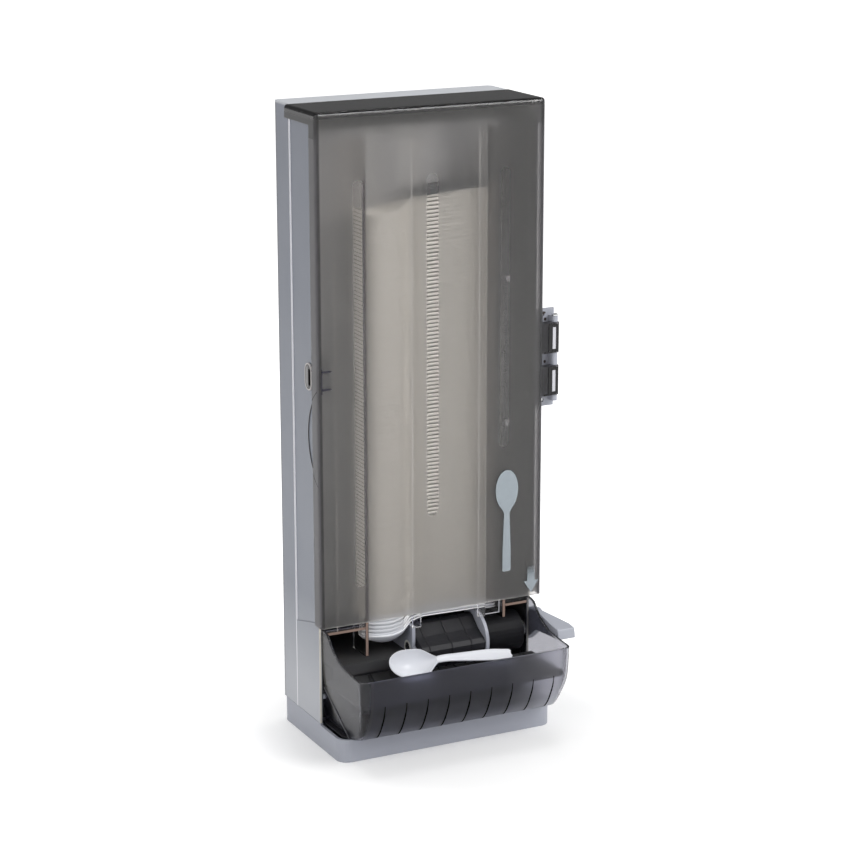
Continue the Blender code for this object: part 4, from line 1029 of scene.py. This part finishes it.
def make_loose_spoon():
    """The spoon that lies in the tray on its bowl and its handle's end, rolled over towards the front."""
    stations, lanes, clearance = 64, 16, 0.0003
    mesh = bmesh.new()
    add_spoon(mesh, Matrix.Diagonal((loose_length_share, 1, 1, 1)), 0, stations, lanes)
    roll = Matrix.Rotation(loose_roll, 4, "X")
    under = Vector((0, 0, -spoon_thickness))
    corners = [vertex.co.copy() for vertex in mesh.verts]
    corners += [corner + under for corner in corners]
    belly = min((roll @ corner for corner in corners), key=lambda corner: corner.z)
    far = spoon_length * loose_length_share - spoon_end_half_width
    ends = (roll @ corner for corner in corners if corner.x > far)
    end = min(ends, key=lambda corner: corner.z)
    fall = math.atan((end.z - belly.z) / (end.x - belly.x))
    turn = Matrix.Rotation(loose_yaw, 4, "Z") @ Matrix.Rotation(fall, 4, "Y") @ roll
    lowest = min((turn @ corner).z for corner in corners)
    place = Vector((loose_tip_x, cover_front + loose_tip_setback, floor_top + clearance - lowest))
    bmesh.ops.transform(mesh, matrix=Matrix.Translation(place) @ turn, verts=mesh.verts)
    spoon = piece_from("served_spoon", mesh, materials["spoon_plastic"], "spoon")
    thicken(spoon, spoon_thickness)
    round_edges(spoon, 0.0003)
    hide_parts("loose_spoon")


# Signs on the cover
def make_marks():
    """The cover's two pale signs: a spoon that stands on its handle, and an arrow that points down."""
    face = cover_front - 0.0002
    centre = 0.0816
    middle, half_tall, half_wide = 0.2425, 0.0202, 0.01255
    outline = []
    for i in range(49):
        angle = math.radians(-62 + 304 * i / 48)
        tall = half_tall if math.sin(angle) > 0 else half_tall * 1.06
        outline.append((centre + half_wide * math.cos(angle), middle + tall * math.sin(angle)))
    handle_low, neck, end = 0.1577, 0.0031, 0.0046
    left = [(centre - neck, 0.2185), (centre - neck - 0.0002, 0.2120)]
    left += [(centre - end, 0.1800), (centre - end, handle_low + 0.0008), (centre - end + 0.0008, handle_low)]
    right = [(2 * centre - x, z) for x, z in reversed(left)]
    outline += left + right
    mesh = prism_mesh(outline, face, face - mark_thickness, on_front)
    piece_from("spoon_sign", mesh, mark_material, "door", False)
    tip, shaft_top = 0.1312, 0.1600
    arrow = [(0.1055, shaft_top), (0.1055, 0.1437), (0.1014, 0.1440), (0.1099, tip)]
    arrow += [(0.1181, 0.1440), (0.1139, 0.1437), (0.1139, shaft_top)]
    mesh = prism_mesh(arrow, face, face - mark_thickness, on_front)
    piece_from("arrow_sign", mesh, mark_material, "door", False)


# Rotor
def drum_outline():
    """The drum's own outline, from its right end, as turns and radii about the rotor's axis."""
    node = nodes["rotor_drum"]
    shaft_bore = 0.006
    right = max(vertex.co.x for vertex in node.data.vertices)
    around = {}
    for vertex in node.data.vertices:
        if vertex.co.x > right - 0.0005:
            off = Vector((vertex.co.y, vertex.co.z)) - Vector((rotor_middle.y, rotor_middle.z))
            if off.length > shaft_bore:
                around[round(math.atan2(off.y, off.x), 4)] = off.length
    return sorted(around.items())


def make_drum_ribs():
    """The three rings that stand a little proud of the drum."""
    proud, wide = 0.0006, 0.0012
    outline = drum_outline()
    for label, x in (("left", -0.0050), ("middle", 0.0195), ("right", 0.0410)):
        points = []
        for turn, radius in outline:
            reach = radius + proud
            points.append((rotor_middle.y + reach * math.cos(turn), rotor_middle.z + reach * math.sin(turn)))
        mesh = prism_mesh(points, x, x + wide, on_side)
        piece_from(f"drum_ring_{label}", mesh, materials["dark_plastic"], "rotor")


# Cabinet
def make_front_panel():
    """The panel of the right guide before the ends of the handles, clear at its foot and tinted dark above as
    painted shade.
    """
    low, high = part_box("magazine_guide_right")
    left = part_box("retainer_right")[1].x + 0.0005
    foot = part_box("retainer_right")[0].z + 0.0005
    front, right = low.y + 0.0003, low.x + 0.0002
    thick, line, edge_up, setback = 0.0010, 0.0006, 0.016, 0.004
    mesh = block_mesh((left, front, foot), (right, front + thick, high.z), 0.0002, 2)
    piece_from("guide_front_panel", mesh, panel_shade_material, "cabinet")
    # Painted highlights: pale strips along the panel's foot and side edges.
    edge, ahead, behind = right - setback, front - 0.0002, front + 0.0012
    mesh = block_mesh((left, ahead, foot), (edge, behind, foot + line), 0.0001)
    piece_from("panel_foot_edge", mesh, edge_highlight_and_pin_grey, "cabinet")
    mesh = block_mesh((edge, ahead, foot), (edge + line, behind, foot + edge_up), 0.0001)
    piece_from("panel_side_edge", mesh, edge_highlight_and_pin_grey, "cabinet")


def make_guide_edges():
    """The guides' front edges and the edges of their ledges, which look brown as sheets seen edge-on do."""
    raised, inset = 0.0002, 0.0004
    for label, hand in (("left", -1), ("right", 1)):
        low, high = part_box(f"magazine_guide_{label}")
        inner = high.x if hand < 0 else low.x
        outer = low.x if hand < 0 else high.x
        near, far = sorted((inner + hand * inset, inner + hand * (guide_wall - inset)))
        top = windows[0][3] if hand < 0 else cover_low + 0.004
        mesh = block_mesh((near, low.y - raised, low.z + inset), (far, low.y + raised, top), 0.0001)
        piece_from(f"guide_edge_{label}", mesh, brown_edge, "cabinet")
        near, far = sorted((inner + hand * guide_wall, outer))
        mesh = block_mesh((near, low.y - raised, ledge_low), (far, low.y + raised, ledge_high), 0.0001)
        piece_from(f"ledge_edge_{label}", mesh, brown_edge, "cabinet")


def make_wall_sheen():
    """The mirror image of the stack on the outer face of the left guide's clear wall."""
    low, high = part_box("magazine_guide_left")
    wall = high.x - guide_wall
    front, back, foot = low.y + 0.001, 0.003, stack_bottom + 0.014
    outline = [(front, foot), (back, foot), (back, stack_top), (front, stack_top)]
    mesh = prism_mesh(outline, wall - 0.0003, wall - 0.0001, on_side)
    piece_from("guide_wall_sheen", mesh, sheen_finish(), "cabinet", False)


def make_corner_shade_plate():
    """A dark plate inside the cover's upper right corner: painted shade."""
    face = cover_front + 0.0027
    outline = [(0.1085, 0.6255), (0.1090, 0.6100), (0.1130, 0.6045), (0.1184, 0.6040), (0.1184, 0.6255)]
    mesh = prism_mesh(outline, face, face + 0.0010, on_front)
    piece_from("cover_corner_shade_plate", mesh, materials["dark_plastic"], "door", False)


def make_catch_arms():
    """The catch's root and its two arms, dark on the cover's face beside the lock."""
    low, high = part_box("catch_bracket")
    middle = (low.z + high.z) / 2 + 0.0022
    left, right, bottom, top = -0.1181, -0.1173, middle - 0.0130, middle + 0.0115
    outlines = [[(left, bottom), (right, bottom), (right, top), (left, top)]]
    for hand in (-1, 1):
        up = middle + hand * 0.0086
        outline = [(-0.1180, up - 0.0011), (-0.1090, up - 0.0007), (-0.1070, up), (-0.1090, up + 0.0007)]
        outlines.append([*outline, (-0.1180, up + 0.0011)])
    whole = bmesh.new()
    for outline in outlines:
        take_in(whole, prism_mesh(outline, cover_front - 0.0003, cover_front - 0.0001, on_front))
    piece_from("catch_arms", whole, catch_finish, "door", False)


def make_knuckle_bars():
    """The dark bars that frame the knuckles' windows, and the pale strips inside them."""
    face = cover_front - 0.0002
    dark, pale = bmesh.new(), bmesh.new()
    for low, high in knuckle_reaches:
        bars = (
            (dark, (0.1275, low), (0.1312, high)),
            (dark, (0.1358, low + 0.001), (0.1382, high - 0.001)),
            (dark, (0.1312, low + 0.0008), (0.1358, low + 0.0034)),
            (dark, (0.1312, high - 0.0034), (0.1358, high - 0.0008)),
            (dark, (0.1224, low), (0.1275, low + 0.0016)),
            (pale, (0.1318, low + 0.0040), (0.1352, high - 0.0040)),
        )
        for whole, first, last in bars:
            low_corner, high_corner = (first[0], face, first[1]), (last[0], face + 0.0003, last[1])
            take_in(whole, block_mesh(low_corner, high_corner, 0.00008))
    piece_from("knuckle_frames", dark, materials["pad_rubber"], "door", False)
    piece_from("knuckle_strips", pale, edge_highlight_and_pin_grey, "door", False)


def make_tray_ribs():
    """The slanting ribs low on the tray's sides, in a lighter grey as painted highlight."""
    whole = bmesh.new()
    for hand in (-1, 1):
        points = [(-0.0240, 0.0640), (-0.0240, 0.0622), (-0.0705, 0.0252), (-0.0719, 0.0252)]
        one = bmesh.new()
        for u, v in points:
            half = tray_half_width(v) + 0.0003
            one.verts.new((hand * half, u, v))
            one.verts.new((hand * (half - 0.0008), u, v))
        bmesh.ops.convex_hull(one, input=one.verts[:])
        take_in(whole, one)
    piece_from("tray_side_ribs", whole, rib_highlight_finish, "tray", False)


def make_bracket_holes():
    """The slot and the two holes in the hinge bracket's plate, drawn as dark discs of painted shade."""
    front = cover_front + 0.0120
    whole = bmesh.new()
    for x, z, half_wide, half_tall, lean in (
        (0.1262, 0.4143, 0.0040, 0.0016, 10),
        (0.1296, 0.4082, 0.0013, 0.0016, 0),
        (0.1296, 0.3652, 0.0013, 0.0016, 0),
    ):
        turn = Matrix.Rotation(math.radians(lean), 2)
        outline = []
        for i in range(20):
            angle = 2 * math.pi * i / 20
            off = turn @ Vector((half_wide * math.cos(angle), half_tall * math.sin(angle)))
            outline.append((x + off.x, z + off.y))
        take_in(whole, prism_mesh(outline, front - 0.0002, front + 0.0004, on_front))
    piece_from("hinge_bracket_holes", whole, dark_brown, "cabinet", False)


def make_hinge_lip():
    """The lip on the housing's front edge, which fills the gap behind the cover at the hinge's side."""
    low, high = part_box("housing")
    side, inner, corner = high.x - 0.0002, high.x - 0.0028, 0.0006
    root, turn, front = low.y + 0.0003, low.y - 0.0072, low.y - 0.0078
    outline = [(inner, root), (inner, turn), (inner + corner, front)]
    outline += [(side - corner, front), (side, turn), (side, root)]
    mesh = prism_mesh(outline, cover_low + 0.001, 0.6135, on_floor)
    piece_from("hinge_side_lip", mesh, materials["dark_plastic"], "cabinet", False)


# Stage
def make_floor():
    """A wide white floor, whose own white only shows where it is looked at."""
    mesh = bmesh.new()
    bmesh.ops.create_circle(mesh, cap_ends=True, segments=96, radius=14)
    data = bpy.data.meshes.new("floor")
    mesh.to_mesh(data)
    mesh.free()
    floor = add_object("floor", data)
    material = new_material("white_floor")
    path = put("LightPath")
    seen = larger(path.outputs["Is Camera Ray"], path.outputs["Is Transmission Ray"])
    seen = larger(seen, path.outputs["Is Glossy Ray"])
    off = put("VectorMath", {0: places(), 1: (0.03, -0.05, 0)}, operation="SUBTRACT").outputs[0]
    away = put("VectorMath", {0: off}, operation="LENGTH").outputs["Value"]
    near_glow, middle_glow, far_glow = 0.17, 0.31, 0.27
    own = plus(near_glow, times(step(away, 0.13, 0.27), middle_glow))
    own = plus(own, times(step(away, 0.26, 0.9), far_glow))
    tone = blend_colours(noise(0.3), (0.80, 0.80, 0.80), (0.82, 0.82, 0.82))
    fill(colour=tone, roughness=0.9, shine=0.1, glow_colour=(1, 1, 1, 1), glow=times(seen, own))
    data.materials.append(material)


def make_world():
    """Plain soft light from all round; where it is looked at, the background is white."""
    world = bpy.data.worlds.new("studio")
    bpy.context.scene.world = world
    draw_in(world)
    light = tree.nodes["Background"]
    path = put("LightPath")
    glossy = path.outputs["Is Glossy Ray"]
    seen = larger(path.outputs["Is Camera Ray"], path.outputs["Is Transmission Ray"])
    split = put("SeparateXYZ", {0: put("TexCoord").outputs["Generated"]})
    mirrored = times(glossy, step(split.outputs["Z"], 0.02, 0.10, 1, 0.16))
    plain = 0.50
    lit = calc("LESS_THAN", plus(seen, glossy), 0.5)
    strength = larger(larger(seen, mirrored), times(lit, plain))
    feed(light.inputs["Strength"], strength)
    feed(light.inputs["Color"], (1, 1, 1, 1))


def lamp(name, place, target, width, height, power):
    """A soft rectangular lamp that shines at a target."""
    data = bpy.data.lights.new(name, "AREA")
    data.shape = "RECTANGLE"
    data.size = width
    data.size_y = height
    data.energy = power
    light = add_object(name, data)
    light.location = place
    light.rotation_euler = (Vector(target) - Vector(place)).to_track_quat("-Z", "Y").to_euler()


def make_lights():
    middle = (0, 0, 0.3)
    lamp("key", (1.3, -1.7, 1.9), middle, 1.4, 1.4, 42)
    lamp("fill", (-1.9, -1.2, 1.1), middle, 1.2, 1.6, 14)
    lamp("top", (0.1, 0.4, 2.2), middle, 1.6, 1.0, 16)


def make_camera():
    """The camera, from its turn round the object, its slope and its small roll."""
    sin_yaw, cos_yaw = math.sin(camera_yaw), math.cos(camera_yaw)
    sin_pitch, cos_pitch = math.sin(camera_pitch), math.cos(camera_pitch)
    back = Vector((sin_yaw * cos_pitch, -cos_yaw * cos_pitch, sin_pitch))
    level = Vector((cos_yaw, sin_yaw, 0))
    upright = back.cross(level)
    right = level * math.cos(camera_roll) + upright * math.sin(camera_roll)
    up = upright * math.cos(camera_roll) - level * math.sin(camera_roll)
    data = bpy.data.cameras.new("camera")
    data.lens = lens
    data.sensor_width = sensor
    data.clip_end = 60
    camera = add_object("camera", data)
    turn = Matrix((right, up, back)).transposed().to_4x4()
    camera.matrix_world = Matrix.Translation(camera_place) @ turn
    bpy.context.scene.camera = camera


def set_view():
    scene = bpy.context.scene
    scene.view_settings.view_transform = "Standard"
    scene.cycles.max_bounces = 24
    scene.cycles.transmission_bounces = 20
    scene.cycles.transparent_max_bounces = 24
    scene.cycles.diffuse_bounces = 6
    scene.cycles.glossy_bounces = 8


# Everything in its order
for make in (
    make_camera, make_world, make_floor, make_lights, set_view, dress_frame, make_tray,
    make_grooves, make_sole, make_tray_ears, make_floor_ribs, make_stack, make_loose_spoon,
    make_marks, make_drum_ribs, make_front_panel, make_guide_edges, make_wall_sheen,
    make_corner_shade_plate, make_catch_arms, make_knuckle_bars, make_tray_ribs, make_bracket_holes,
    make_hinge_lip,
):
    make()
